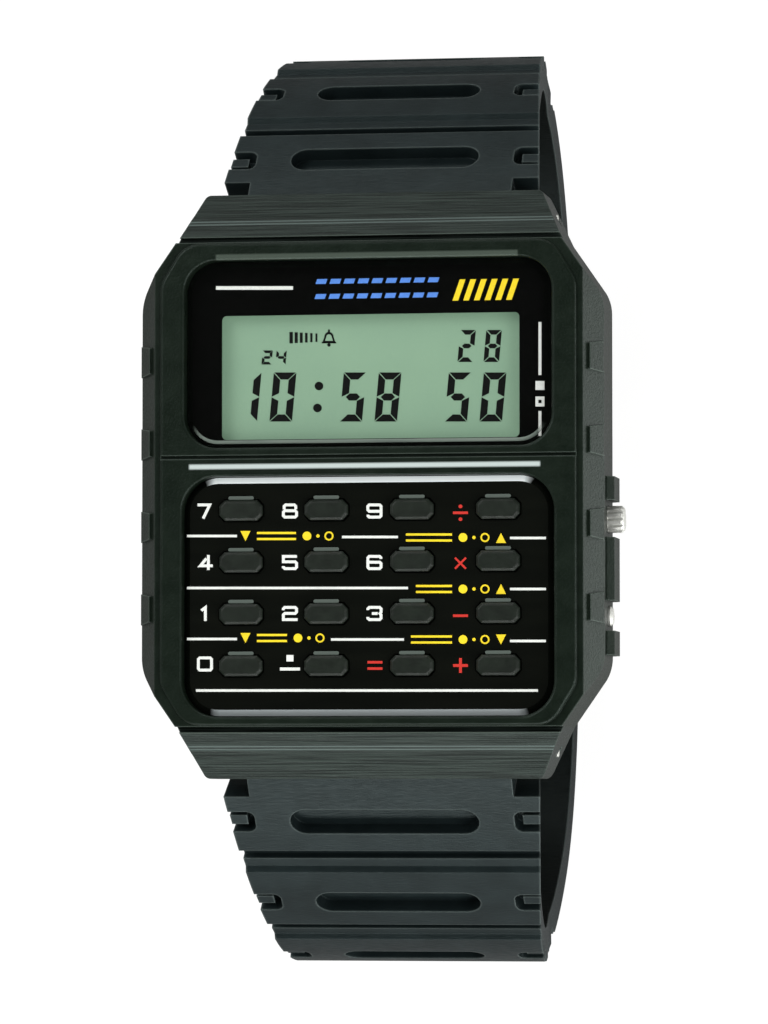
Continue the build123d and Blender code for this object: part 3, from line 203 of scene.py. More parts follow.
# ---- Case body ----
# One injection-moulded resin case: framed face, ribbed hoods over the strap ends, grip
# pads and a guard beside the pushers. Black with a slight green cast and a fine matte grain.
mm = 0.001
noise_low, noise_high = 0.3, 0.7
edge_samples = 6
edge_start, edge_full = 0.85, 0.45
resin_grain = 0.16 * mm
resin_mottle = 1.4 * mm
resin_edge = 0.12 * mm
hood_start = 17.84 * mm
hood_line_width = 0.13 * mm
hood_line_length = 6.0 * mm
hood_step = 19.35 * mm
hood_step_half = 0.11 * mm
# Painted highlight lines on the steps of the hoods: their fade and strength
step_highlight_fade = (0.08 * mm, 0.02 * mm)
step_highlight_strength = 0.75
top_facing = 0.6
# Painted highlights on the face, as narrow strips, each by its centre and its half sizes
key_painted_highlight = (-0.22 * mm, 1.25 * mm, 13.0 * mm, 0.19 * mm)
display_painted_highlight = (-0.05 * mm, 16.64 * mm, 11.2 * mm, 0.25 * mm)
highlight_depth = 0.2 * mm
highlight_fade_out, highlight_fade_in = 0.05 * mm, 0.09 * mm
face_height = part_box("case_body")[1].z


def material_of(name):
    """A new material with its shader, ready for its colours and bump."""
    material = bpy.data.materials.new(name)
    material.use_nodes = True
    tree = material.node_tree
    tree.nodes.clear()
    shader = add(tree, "ShaderNodeBsdfPrincipled")
    add(tree, "ShaderNodeOutputMaterial", {"Surface": shader.outputs[0]})
    place = add(tree, "ShaderNodeTexCoord").outputs["Object"]
    return material, tree, shader, place


def facing_of(tree):
    """The way a surface faces, as X, Y and Z."""
    normal = add(tree, "ShaderNodeTexCoord").outputs["Normal"]
    return add(tree, "ShaderNodeSeparateXYZ", {0: normal}).outputs


def patches(tree, place, size, detail=2.0, stretch=(1, 1, 1)):
    """Soft random patches of a size in metres, as a value round a half."""
    stretched = add(tree, "ShaderNodeMapping", {"Vector": place, "Scale": stretch})
    return add(tree, "ShaderNodeTexNoise", {"Vector": stretched.outputs[0], "Scale": 1 / size,
               "Detail": detail}).outputs[0]


def between(tree, value, dark, light, low=noise_low, high=noise_high):
    """A colour that goes from dark to light as a value goes from low to high."""
    return mix_colour(tree, ramp(tree, value, low, high), linear(dark), linear(light))


def spread(tree, value, low, high):
    """A value that varies between two limits, from one that varies round a half."""
    return ramp(tree, value, noise_low, noise_high, low, high)


def raised(tree, shader, height, depth, strength, edge=0.0):
    """Bump of a depth in metres, on edges rounded by a radius."""
    bump = add(tree, "ShaderNodeBump", {"Height": height, "Distance": depth,
               "Strength": strength})
    if edge:
        rounded = add(tree, "ShaderNodeBevel", {"Radius": edge}, samples=edge_samples)
        fill(tree, bump, {"Normal": rounded.outputs[0]})
    fill(tree, shader, {"Normal": bump.outputs[0]})


def worn_and_highlit_edges(tree, colour, reach, edge_colour, strength):
    """A colour that turns paler on outer edges: partly handling wear, partly a painted highlight.
    """
    openness = add(tree, "ShaderNodeAmbientOcclusion", {"Distance": reach},
                   samples=edge_samples, inside=True).outputs["AO"]
    edge = ramp(tree, openness, edge_start, edge_full, 0.0, strength)
    return mix_colour(tree, edge, colour, linear(edge_colour))


def painted_highlight_share(tree, axes, highlight):
    """1 on a narrow strip of the face where a highlight is painted, given its centre and half
    sizes, and 0 elsewhere.
    """
    share = 1.0
    for axis, centre, half in (("X", highlight[0], highlight[2]), ("Y", highlight[1], highlight[3]),
                               ("Z", face_height, highlight_depth)):
        offset = calculate(tree, "ABSOLUTE", calculate(tree, "SUBTRACT", axes[axis], centre))
        inside = ramp(tree, offset, half + highlight_fade_out, half - highlight_fade_in)
        share = calculate(tree, "MULTIPLY", share, inside)
    return share


def dress(material, *names):
    """Gives the CAD pieces of these names a material."""
    for name in names:
        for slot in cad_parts[name].material_slots:
            slot.material = material


# Moulded ABS resin with a spark-eroded grain: dull, near black, a little green; the hoods
# are combed with fine lines across the watch
resin, tree, shader, place = material_of("moulded_resin_case")
grain = patches(tree, place, resin_grain)
mottle = patches(tree, place, resin_mottle)
combed = patches(tree, place, hood_line_width, 1.0, (hood_line_width / hood_line_length, 1, 1))
axes = add(tree, "ShaderNodeSeparateXYZ", {0: place}).outputs
far = calculate(tree, "ABSOLUTE", axes["Y"])
on_hood = calculate(tree, "GREATER_THAN", far, hood_start)
surface = mix(tree, on_hood, grain, combed)
# The comb's lines show paler and darker, and two painted highlight lines mark the step of each
# hood, on its upward faces
step_side = calculate(tree, "ABSOLUTE", calculate(tree, "SUBTRACT", far, hood_step))
step_side = calculate(tree, "ABSOLUTE", calculate(tree, "SUBTRACT", step_side, hood_step_half))
step_highlight = ramp(tree, step_side, *step_highlight_fade, 0.0, step_highlight_strength)
on_top = calculate(tree, "GREATER_THAN", facing_of(tree)["Z"], top_facing)
step_highlight = calculate(tree, "MULTIPLY", step_highlight, on_top)
comb_colour = mix_colour(tree, step_highlight, between(tree, combed, "#080D0A", "#222A26", 0.38, 0.62),
                         linear("#56625F"))
colour = mix_colour(tree, on_hood, between(tree, mottle, "#0E160F", "#151D16"), comb_colour)
# Two narrow painted highlights: above the keys, and along the display's upper rim
for highlight, highlight_colour in ((key_painted_highlight, "#B6C1BE"), (display_painted_highlight, "#414A42")):
    colour = mix_colour(tree, painted_highlight_share(tree, axes, highlight), colour, linear(highlight_colour))
# Outer edges turn paler: wear, and a painted highlight
fill(tree, shader, {
    "Base Color": worn_and_highlit_edges(tree, colour, resin_edge, "#4D5750", 0.9),
    "Roughness": spread(tree, grain, 0.28, 0.42), "Specular IOR Level": 0.22,
    "Specular Tint": linear("#DCF0E8")})
raised(tree, shader, surface, 0.025 * mm, 0.8, resin_edge)
dress(resin, "case_body")


# ---- Display ----
# A clear acrylic crystal over a black printed mask, and under its window the display
# glass on a reflector. The crystal is cemented in; rubber strips join the glass to the board.
print_height = 0.025 * mm
mask_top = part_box("display_mask")[1].z
lcd_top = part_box("lcd_panel")[1].z


def spot(pixel_x, pixel_y, height):
    """Where a pixel of the photograph falls on the level plane at a height."""
    ray = forward + right * ((pixel_x - photo_centre[0]) / focal_pixels)
    ray = ray + up * ((photo_centre[1] - pixel_y) / focal_pixels)
    return (camera_place + ray * ((height - camera_place.z) / ray.z)).xy


def circle(centre, radius, count=20):
    """Points of a circle, in pixels."""
    return [
        (centre[0] + radius * cos(2 * pi * step / count),
         centre[1] + radius * sin(2 * pi * step / count))
        for step in range(count)
    ]


def bar(left, top, right_side, bottom):
    """Points of an upright rectangle, in pixels."""
    return [(left, top), (right_side, top), (right_side, bottom), (left, bottom)]


def raise_shape(mesh, points, low, high, hole):
    """Adds a flat closed plate to a mesh, from its points in metres and those of its hole."""
    area = sum(a[0] * b[1] - b[0] * a[1] for a, b in zip(points, points[1:] + points[:1]))
    if area < 0:
        points = points[::-1]
        hole = hole[::-1]
    loops = [[mesh.verts.new((x, y, z)) for x, y in loop] for loop in (points, hole)
             for z in (low, high)]
    outer_low, outer_high, inner_low, inner_high = loops
    count = len(points)
    for step in range(count):
        after = (step + 1) % count
        mesh.faces.new((outer_low[step], outer_low[after], outer_high[after], outer_high[step]))
        if hole:
            mesh.faces.new((inner_low[after], inner_low[step], inner_high[step],
                            inner_high[after]))
            mesh.faces.new((outer_high[step], outer_high[after], inner_high[after],
                            inner_high[step]))
            mesh.faces.new((outer_low[after], outer_low[step], inner_low[step],
                            inner_low[after]))
    if not hole:
        mesh.faces.new(outer_high)
        mesh.faces.new(outer_low[::-1])


def new_piece(name, mesh, material, body):
    """Makes an object of a finished mesh, with its material, body and slot."""
    data = bpy.data.meshes.new(name)
    mesh.to_mesh(data)
    mesh.free()
    data.materials.append(material)
    piece = bpy.data.objects.new(name, data)
    scene.collection.objects.link(piece)
    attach(piece, body)


def ink(name, colour, worn):
    """Screen-printed ink: an even, slightly soft colour with faint thin spots."""
    material, tree, shader, place = material_of(name)
    thin = patches(tree, place, 0.25 * mm)
    fill(tree, shader, {"Base Color": between(tree, thin, worn, colour, 0.25, 0.75),
                        "Roughness": 0.45, "Specular IOR Level": 0.2})
    raised(tree, shader, thin, 0.002 * mm, 0.4)
    return material


def print_marks(name, material, level, shapes, holed_shapes=()):
    """One print: flat shapes given in the photograph's pixels, on the surface at a level."""
    mesh = bmesh.new()
    for loops in [(shape, ()) for shape in shapes] + list(holed_shapes):
        points, hole = ([tuple(spot(x, y, level)) for x, y in loop] for loop in loops)
        raise_shape(mesh, points, level, level + print_height, hole)
    new_piece(name, mesh, material, "case")


# Cast acrylic, polished: clear, with a pale grey painted highlight on its lower bevel
bevel_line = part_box("display_crystal")[1].z - 0.24 * mm
bevel_start, bevel_full = -0.25, -0.66
acrylic_ior = 1.49
crystal = bpy.data.materials.new("polished_acrylic_crystal")
crystal.use_nodes = True
tree = crystal.node_tree
tree.nodes.clear()
place = add(tree, "ShaderNodeTexCoord").outputs["Object"]
bevel = ramp(tree, facing_of(tree)["Y"], bevel_start, bevel_full,
             interpolation_type="SMOOTHSTEP")
height = add(tree, "ShaderNodeSeparateXYZ", {0: place}).outputs["Z"]
bevel = calculate(tree, "MULTIPLY", bevel, calculate(tree, "GREATER_THAN", height, bevel_line))
backfacing = add(tree, "ShaderNodeNewGeometry").outputs["Backfacing"]
fresnel = add(tree, "ShaderNodeFresnel", {"IOR": acrylic_ior}).outputs[0]
gloss_share = calculate(tree, "MULTIPLY", fresnel, calculate(tree, "SUBTRACT", 1.0, backfacing))
clear = add(tree, "ShaderNodeBsdfTransparent", {"Color": (1, 1, 1, 1)})
gloss = add(tree, "ShaderNodeBsdfGlossy", {"Color": (1, 1, 1, 1), "Roughness": 0.03})
glass = add(tree, "ShaderNodeMixShader", {0: gloss_share, 1: clear.outputs[0],
            2: gloss.outputs[0]})
streak = patches(tree, place, 0.5 * mm, 1.0, (0.1, 1, 1))
# The painted highlight of the lower bevel, pale grey
crystal_bevel_highlight = add(tree, "ShaderNodeBsdfPrincipled", {
    "Base Color": between(tree, streak, "#7C8880", "#8D9A90"), "Roughness": 0.3})
whole = add(tree, "ShaderNodeMixShader", {0: bevel, 1: glass.outputs[0],
            2: crystal_bevel_highlight.outputs[0]})
add(tree, "ShaderNodeOutputMaterial", {"Surface": whole.outputs[0]})
dress(crystal, "display_crystal")

# Black ink on film, satin
mask_ink, tree, shader, place = material_of("black_screen_print")
soft = patches(tree, place, 0.6 * mm)
fill(tree, shader, {"Base Color": between(tree, soft, "#040504", "#060706"), "Roughness": 0.6,
                    "Specular IOR Level": 0.02})
dress(mask_ink, "display_mask")

# Polariser film over the display glass: pale grey-green, satin, very even, lit by a painted glow
polariser, tree, shader, place = material_of("polariser_on_glass")
fine = patches(tree, place, 0.12 * mm)
broad = patches(tree, place, 6 * mm, 1.0)
cloud = calculate(tree, "ADD", fine, broad)
# A painted glow makes up for the mask's shade on the display
fill(tree, shader, {"Base Color": between(tree, cloud, "#6E8A74", "#769279", 0.7, 1.3),
                    "Emission Color": linear("#84A98D"), "Emission Strength": 0.35,
                    "Roughness": 0.42})
raised(tree, shader, fine, 0.002 * mm, 0.5)
dress(polariser, "lcd_panel")

# Brushed aluminium foil behind the glass
foil, tree, shader, place = material_of("brushed_foil")
brushed = patches(tree, place, 0.1 * mm, 1.0, (0.03, 1, 1))
fill(tree, shader, {"Base Color": between(tree, brushed, "#B9BCB8", "#D2D4D0"),
                    "Roughness": spread(tree, brushed, 0.25, 0.4), "Metallic": 1.0})
dress(foil, "lcd_reflector")

# Striped silicone strips: thin carbon layers between clear ones
strips, tree, shader, place = material_of("striped_silicone")
layers = add(tree, "ShaderNodeTexWave", {"Vector": place, "Scale": 1 / (0.6 * mm)}).outputs[1]
fill(tree, shader, {"Base Color": between(tree, layers, "#2A2926", "#B9AFA0"),
                    "Roughness": 0.5})
dress(strips, "lcd_connectors")

# Moulded ABS holder and module frame: mid grey, matte
inner_plastic, tree, shader, place = material_of("moulded_abs_inside")
speck = patches(tree, place, 0.2 * mm)
fill(tree, shader, {"Base Color": between(tree, speck, "#3B3D3E", "#46484A"),
                    "Roughness": 0.55})
raised(tree, shader, speck, 0.01 * mm, 0.5, 0.1 * mm)
dress(inner_plastic, "lcd_holder", "module_frame")

# Display figures: dark liquid-crystal segments, raised by no more than a print
segment_lean = 0.09
segment_ink = ink("dark_segments", "#050807", "#090D0B")
lit_segments = {"0": "abcdef", "1": "bc", "2": "abged", "4": "fgbc", "5": "afgcd",
                "8": "abcdefg"}


def segment_shapes(figure, left, bottom, width, height, stroke, gap):
    """The lit segments of a figure, as shapes in the photograph's pixels."""
    middle = height / 2
    upper_left = [(0, middle + gap / 2), (0, height - gap), (stroke, height - stroke - gap),
                  (stroke, middle + stroke / 2 + gap / 2)]
    top = [(gap, height), (width - gap, height), (width - stroke - gap, height - stroke),
           (stroke + gap, height - stroke)]
    across = [(stroke / 2 + gap, middle), (stroke + gap, middle + stroke / 2),
              (width - stroke - gap, middle + stroke / 2), (width - stroke / 2 - gap, middle),
              (width - stroke - gap, middle - stroke / 2), (stroke + gap, middle - stroke / 2)]
    shapes = {
        "a": top,
        "b": [(width - x, y) for x, y in upper_left],
        "c": [(width - x, height - y) for x, y in upper_left],
        "d": [(x, height - y) for x, y in top],
        "e": [(x, height - y) for x, y in upper_left],
        "f": upper_left,
        "g": across,
    }
    return [[(left + x + segment_lean * y, bottom - y) for x, y in shapes[segment]]
            for segment in lit_segments[figure]]


# Rows of figures: their left edges, and the foot line, width, height, stroke and gap
figure_rows = (
    ("105850", (234.5, 269.5, 339.5, 374.5, 444.5, 479.5), 421.5, 22.5, 49, 7, 0.6),
    ("28", (457.5, 483.5), 362, 15.5, 32, 4.6, 0.7),
    ("24", (261.5, 275.5), 364.5, 10, 14, 2.6, 0.2),
)
figures = [
    shape
    for row, left_edges, *sizes in figure_rows
    for figure, left in zip(row, left_edges)
    for shape in segment_shapes(figure, left, *sizes)
]
figures += [circle((319, 386), 4.3), circle((317.5, 408), 4.3)]
# Bell: a hollow dome on a rim, with a clapper under it and a stub on top
bell_x, shoulder_y, bell_foot_y = 329, 337, 342.6
hollow_y, hollow_size = 338.2, 0.62
bell_dome = [(bell_x + 4.6 * cos(radians(turn)), shoulder_y - 5.2 * sin(radians(turn)))
             for turn in range(0, 181, 20)]
bell_outer = [(335.5, bell_foot_y)] + bell_dome + [(322.5, bell_foot_y)]
bell_inner = [(bell_x + hollow_size * (x - bell_x), hollow_y + hollow_size * (y - hollow_y))
              for x, y in bell_outer]
figures += [bar(321.8, 341.8, 336.2, 343.4), circle((bell_x, 345), 1.7, 12),
            bar(328, 329.6, 330, 332)]
# Signal bars that thin out to the right
figures += [bar(289.5 + 5.2 * step, 332 + 0.3 * step, 292.9 + 4.9 * step, 343.4 - 0.3 * step)
            for step in range(6)]
print_marks("lcd_segments", segment_ink, lcd_top, figures,
            [(bell_outer, bell_inner)])

# Inks of the marks on the mask and the keypad plate
white_ink = ink("white_ink", "#E6E9E4", "#D8DCD6")
blue_ink = ink("blue_ink", "#5C8EDF", "#5285D4")
yellow_ink = ink("yellow_ink", "#F4D92B", "#E9CD25")
red_ink = ink("red_ink", "#CC352C", "#C02E26")

# A row of leaning bars, as many and as large as its inputs say
bars_tree = bpy.data.node_groups.new("row_of_bars", "GeometryNodeTree")
bar_inputs = {}
for label, kind in (("Count", "Int"), ("Pitch", "Float"), ("Width", "Float"),
                    ("Length", "Float"), ("Height", "Float"), ("Lean", "Float"),
                    ("Ink", "Material")):
    bar_inputs[label] = bars_tree.interface.new_socket(
        label, in_out="INPUT", socket_type=f"NodeSocket{kind}").identifier
bars_tree.interface.new_socket("Geometry", in_out="OUTPUT", socket_type="NodeSocketGeometry")
given = add(bars_tree, "NodeGroupInput").outputs
step = add(bars_tree, "ShaderNodeCombineXYZ", {0: given["Pitch"]}).outputs[0]
row = add(bars_tree, "GeometryNodeMeshLine", {"Count": given["Count"], "Offset": step})
size = add(bars_tree, "ShaderNodeCombineXYZ", {
    0: given["Width"], 1: given["Length"], 2: given["Height"]}).outputs[0]
one_bar = add(bars_tree, "GeometryNodeMeshCube", {"Size": size})
placed = add(bars_tree, "GeometryNodeInstanceOnPoints", {
    "Points": row.outputs[0], "Instance": one_bar.outputs[0]})
real = add(bars_tree, "GeometryNodeRealizeInstances", {0: placed.outputs[0]})
position = add(bars_tree, "GeometryNodeInputPosition").outputs[0]
along = add(bars_tree, "ShaderNodeSeparateXYZ", {0: position}).outputs["Y"]
lean = calculate(bars_tree, "MULTIPLY", along, given["Lean"])
shift = add(bars_tree, "ShaderNodeCombineXYZ", {0: lean}).outputs[0]
leaned = add(bars_tree, "GeometryNodeSetPosition", {
    "Geometry": real.outputs[0], "Offset": shift})
inked = add(bars_tree, "GeometryNodeSetMaterial", {
    "Geometry": leaned.outputs[0], "Material": given["Ink"]})
add(bars_tree, "NodeGroupOutput", {0: inked.outputs[0]})


def bar_row(name, material, start, level, **sizes):
    """A printed row of leaning bars whose first one is centred on a pixel of the photograph."""
    piece = bpy.data.objects.new(name, bpy.data.meshes.new(name))
    scene.collection.objects.link(piece)
    modifier = piece.modifiers.new("bars", "NODES")
    modifier.node_group = bars_tree
    for label, value in dict(sizes, Height=print_height, Ink=material).items():
        modifier[bar_inputs[label]] = value
    depsgraph = bpy.context.evaluated_depsgraph_get()
    made = bpy.data.meshes.new_from_object(piece.evaluated_get(depsgraph))
    piece.modifiers.remove(modifier)
    x, y = spot(*start, level)
    made.transform(Matrix.Translation((x, y, level + print_height / 2)))
    piece.data = made
    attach(piece, "case")


# Marks on the mask: two rows of dashes, a row of bars, plain lines and two squares
bar_lean = 0.35
for name, start in (("print_blue_upper", (321.5, 281.5)), ("print_blue_lower", (320.5, 296.5))):
    bar_row(name, blue_ink, start, mask_top, Count=9, Pitch=1.04 * mm, Width=0.76 * mm,
            Length=0.36 * mm, Lean=bar_lean)
bar_row("print_yellow_bars", yellow_ink, (459, 290), mask_top, Count=6, Pitch=0.79 * mm,
        Width=0.42 * mm, Length=1.55 * mm, Lean=bar_lean)
print_marks(
    "print_white_display", white_ink, mask_top,
    [bar(216, 286.2, 293, 289.8), bar(538.5, 322, 541.5, 375), bar(535.5, 381, 544.5, 390),
     bar(538.5, 411, 541.5, 436)],
    [(bar(535.5, 396.5, 544.5, 406.5), bar(538.4, 399.8, 541.6, 403.2))],
)


# ---- Keypad plate ----
# One black acrylic plate, cemented onto its ledge, with a polished bevel all round, a
# low lip above every key and printed figures, function marks and lines.
lip_height = 0.16 * mm
plate_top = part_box("keypad_plate")[1].z - lip_height
lip_start = plate_top + 0.1 * mm
# Where the upper and the lower bevel get a painted highlight: past which slope along the
# watch, and within which turn away from running straight across it
upper_slope, upper_turn = (0.22, 0.36), (0.3, 0.1)
lower_slope, lower_turn = (-0.4, -0.7), (0.2, 0.05)
upward_facing = 0.3
# Strength of the painted glow of the bevels, and the share of it on the lower one
painted_glow_strength = 0.5
lower_painted_glow = 0.17
stroke_half = 1.4
figure_width, figure_height = 16, 15


def bevel_share(tree, facing, slope, turn):
    """1 on a straight bevel across the watch, and 0 elsewhere."""
    sloping = ramp(tree, facing["Y"], *slope, interpolation_type="SMOOTHSTEP")
    straight = ramp(tree, calculate(tree, "ABSOLUTE", facing["X"]), *turn)
    return calculate(tree, "MULTIPLY", sloping, straight)


# Cast acrylic: deep black and glossy; its long bevels and the lips get a painted highlight
gloss_black, tree, shader, place = material_of("black_acrylic_plate")
facing = facing_of(tree)
height = add(tree, "ShaderNodeSeparateXYZ", {0: place}).outputs["Z"]
shares = (calculate(tree, "GREATER_THAN", height, lip_start),
          bevel_share(tree, facing, upper_slope, upper_turn),
          bevel_share(tree, facing, lower_slope, lower_turn))
upward = calculate(tree, "GREATER_THAN", facing["Z"], upward_facing)
lip_highlight, upper_bevel_highlight, lower_bevel_highlight = (calculate(tree, "MULTIPLY", share, upward) for share in shares)
smear = patches(tree, place, 1.2 * mm, 1.0, (0.2, 1, 1))
colour = between(tree, smear, "#090B08", "#0D0F0B")
for share, part_colour in ((lip_highlight, "#59625C"), (upper_bevel_highlight, "#DCE3E2"), (lower_bevel_highlight, "#AEB6B8")):
    colour = mix_colour(tree, share, colour, linear(part_colour))
# A painted glow: the two long bevels give out light of their own, the upper one most
painted_glow = calculate(tree, "MULTIPLY", mix(tree, lower_bevel_highlight, upper_bevel_highlight, lower_painted_glow), painted_glow_strength)
fill(tree, shader, {"Base Color": colour, "Emission Color": linear("#E6EEEE"),
                    "Emission Strength": painted_glow, "Roughness": 0.14, "IOR": 1.49})
raised(tree, shader, smear, 0.002 * mm, 0.3)
dress(gloss_black, "keypad_plate")


def stroke(points, closed=False):
    """The edge of an even line through points, with mitred corners; a closed line has two."""
    sides = [], []
    for index, point in enumerate(points):
        into = Vector(point) - Vector(points[index - 1])
        out = Vector(points[(index + 1) % len(points)]) - Vector(point)
        if not closed and index == 0:
            into = out
        if not closed and index == len(points) - 1:
            out = into
        into, out = into.normalized(), out.normalized()
        across = Vector((-into.y - out.y, into.x + out.x)).normalized()
        reach = stroke_half / across.dot(Vector((-into.y, into.x)))
        for side, sign in zip(sides, (1, -1)):
            side.append(tuple(Vector(point) + across * reach * sign))
    return sides if closed else sides[0] + sides[1][::-1]


# Wide figures, each as open lines and closed ones, in pixels from the upper left corner of a
# box figure_width by figure_height
lower_ring = [(2.8, 7.2), (13.2, 7.2), (14.6, 8.6), (14.6, 12.2), (13.2, 13.6), (2.8, 13.6),
              (1.4, 12.2), (1.4, 8.6)]
key_figures = {
    "0": ([], [[(2.8, 1.4), (13.2, 1.4), (14.6, 2.8), (14.6, 12.2), (13.2, 13.6), (2.8, 13.6),
                (1.4, 12.2), (1.4, 2.8)]]),
    "1": ([[(4.4, 4.6), (8.4, 1.6), (8.4, 15)]], []),
    "2": ([[(1.4, 4.2), (1.4, 2.8), (2.8, 1.4), (13.2, 1.4), (14.6, 2.8), (14.6, 6),
            (13.2, 7.4), (2.8, 7.4), (1.4, 8.8), (1.4, 13.6), (15.6, 13.6)]], []),
    "3": ([[(1.4, 4), (1.4, 2.8), (2.8, 1.4), (13.2, 1.4), (14.6, 2.8), (14.6, 6.1),
            (13.4, 7.5), (14.6, 8.9), (14.6, 12.2), (13.2, 13.6), (2.8, 13.6), (1.4, 12.2),
            (1.4, 11)], [(5.4, 7.5), (11.2, 7.5)]], []),
    "4": ([[(11.4, 0), (11.4, 15)], [(9.5, 3.5), (3.4, 10.8), (10, 10.8)],
           [(12.8, 10.8), (15.8, 10.8)]], []),
    "5": ([[(15, 1.4), (1.4, 1.4), (1.4, 6.8), (13.2, 6.8), (14.6, 8.2), (14.6, 12.2),
            (13.2, 13.6), (2.8, 13.6), (1.4, 12.2), (1.4, 11.2)]], []),
    "6": ([[(1.4, 5.8), (1.4, 2.8), (2.8, 1.4), (13.2, 1.4), (14.4, 2.6), (14.4, 3.8)]],
          [[(1.4, 7.2)] + lower_ring[1:7]]),
    "7": ([[(0.6, 1.4), (12.8, 1.4), (6.2, 15)]], []),
    "8": ([[(2.2, 5.8), (2.2, 2.8), (3.6, 1.4), (12.4, 1.4), (13.8, 2.8), (13.8, 5.8)]],
          [lower_ring]),
}
key_figures["9"] = tuple(
    [[(figure_width - x, figure_height - y) for x, y in line] for line in lines]
    for lines in key_figures["6"]
)

key_columns = (205, 290, 374.5)
key_rows = (("789", 511), ("456", 562.5), ("123", 613.5), ("0", 664))
figure_places = [
    (character, column_x, row_y)
    for characters, row_y in key_rows
    for character, column_x in zip(characters, key_columns)
]
figure_shapes, figure_rings = [], []
for character, column_x, row_y in figure_places:
    open_lines, closed_lines = key_figures[character]
    corner = Vector((column_x - figure_width / 2, row_y - figure_height / 2))
    for line in open_lines:
        figure_shapes.append(stroke([Vector(point) + corner for point in line]))
    for line in closed_lines:
        figure_rings.append(stroke([Vector(point) + corner for point in line], closed=True))
# The long lines between the keys, with the point and the short bar under it
line_half = 1.25
print_lines = [
    bar(left, row_y - line_half, right_side, row_y + line_half)
    for row_y, left, right_side in (
        (536, 187, 237), (537, 342, 398), (538, 510, 546), (588, 187, 408), (589, 510, 546),
        (639, 187, 237), (639.5, 331, 404), (641, 510, 546), (690.5, 196, 538))
]
print_lines += [bar(286.5, 655, 293.5, 661.5), bar(280, 667.5, 300, 670.5)]
print_marks("print_white_keys", white_ink, plate_top,
            print_lines + figure_shapes, figure_rings)

# The signs, each drawn round its own middle and set left of its key
red_x = 460.5
times_size = 0.88
times_sign = [(-1.6, 0), (-7, -5.4), (-5.4, -7), (0, -1.6), (5.4, -7), (7, -5.4), (1.6, 0),
              (7, 5.4), (5.4, 7), (0, 1.6), (-5.4, 7), (-7, 5.4)]
plus_sign = [(-1.4, -7.4), (1.4, -7.4), (1.4, -1.4), (7.4, -1.4), (7.4, 1.4), (1.4, 1.4),
             (1.4, 7.4), (-1.4, 7.4), (-1.4, 1.4), (-7.4, 1.4), (-7.4, -1.4), (-1.4, -1.4)]
print_marks("print_red_keys", red_ink, plate_top, [
    bar(453, 511.5, 468, 514.1), circle((red_x, 506.4), 1.9, 14),
    circle((red_x, 519.2), 1.9, 14), bar(453, 614.4, 468, 617), bar(367.5, 661, 382.5, 663.5),
    bar(367.5, 667.3, 382.5, 669.8),
    [(red_x + times_size * x, 563.2 + times_size * y) for x, y in times_sign],
    [(red_x + x, 665.5 + y) for x, y in plus_sign],
])
triangle_half = 5


def triangle(centre_x, centre_y, sign):
    """A mark that points down (1) or up (-1), in pixels."""
    base_y = centre_y - triangle_half * sign
    return [(centre_x - triangle_half, base_y), (centre_x + triangle_half, base_y),
            (centre_x, centre_y + triangle_half * sign)]


function_marks = [triangle(245.5, 536, 1), triangle(501, 538, -1), triangle(501, 589, -1),
                  triangle(245.5, 638, 1), triangle(501, 639.5, 1)]
function_rings = []
# Between the keys, each this far in from the right end of its row: an open ring, a dot, a
# disc and two stripes that run on to the left end
ring_inset, dot_inset, disc_inset, stripe_inset = 5, 16, 27, 38
stripe_shift, stripe_half = 3, 1.1
for centre_y, left, right_side in ((536, 257, 334), (537.5, 406, 490), (589, 416, 490),
                                   (638, 257, 325), (639.5, 411, 490)):
    ring_centre = (right_side - ring_inset, centre_y)
    function_rings.append((circle(ring_centre, 4.6), circle(ring_centre, 3)))
    function_marks += [circle((right_side - dot_inset, centre_y), 1.7, 12),
                       circle((right_side - disc_inset, centre_y), 4.4)]
    function_marks += [
        bar(left, centre_y + shift - stripe_half, right_side - stripe_inset,
            centre_y + shift + stripe_half)
        for shift in (-stripe_shift, stripe_shift)
    ]
print_marks("print_yellow_keys", yellow_ink, plate_top, function_marks,
            function_rings)


# ---- Keys and their web ----
# Sixteen keys and the sheet that lifts them, moulded in one silicone rubber: matte,
# dark grey-green, with rounded edges. Each key stands up through its hole in the plate.
key_names = ("key_7", "key_8", "key_9", "key_divide", "key_4", "key_5", "key_6", "key_multiply",
             "key_1", "key_2", "key_3", "key_minus", "key_0", "key_point", "key_equals",
             "key_plus")
rubber, tree, shader, place = material_of("silicone_rubber_keys")
powder = patches(tree, place, 0.14 * mm)
rubbed = patches(tree, place, 0.9 * mm)
fill(tree, shader, {"Base Color": between(tree, rubbed, "#111811", "#192119"),
                    "Roughness": spread(tree, powder, 0.36, 0.5), "Specular IOR Level": 0.35})
raised(tree, shader, powder, 0.008 * mm, 0.6, 0.16 * mm)
dress(rubber, "key_web", *key_names)


# ---- Movement ----
# Circuit board with its epoxy blob and trimmer, the cell's contact, the buzzer on the back,
# and the film that keeps the back off the contacts. Their steel neighbours follow below.
board_green, tree, shader, place = material_of("glass_epoxy_board")
weave = add(tree, "ShaderNodeTexChecker", {"Vector": place, "Scale": 1 / (0.5 * mm)}).outputs[1]
cloth = patches(tree, place, 0.8 * mm)
woven = calculate(tree, "ADD", calculate(tree, "MULTIPLY", weave, 0.2), cloth)
fill(tree, shader, {"Base Color": between(tree, woven, "#1F5A36", "#2C7546", 0.3, 0.9),
                    "Roughness": 0.35})
raised(tree, shader, woven, 0.01 * mm, 0.5)
dress(board_green, "circuit_board")

epoxy, tree, shader, place = material_of("potting_epoxy")
flow = patches(tree, place, 1.5 * mm)
fill(tree, shader, {"Base Color": between(tree, flow, "#141414", "#1D1D1C"),
                    "Roughness": 0.25})
raised(tree, shader, flow, 0.05 * mm, 0.5)
dress(epoxy, "chip_cover")

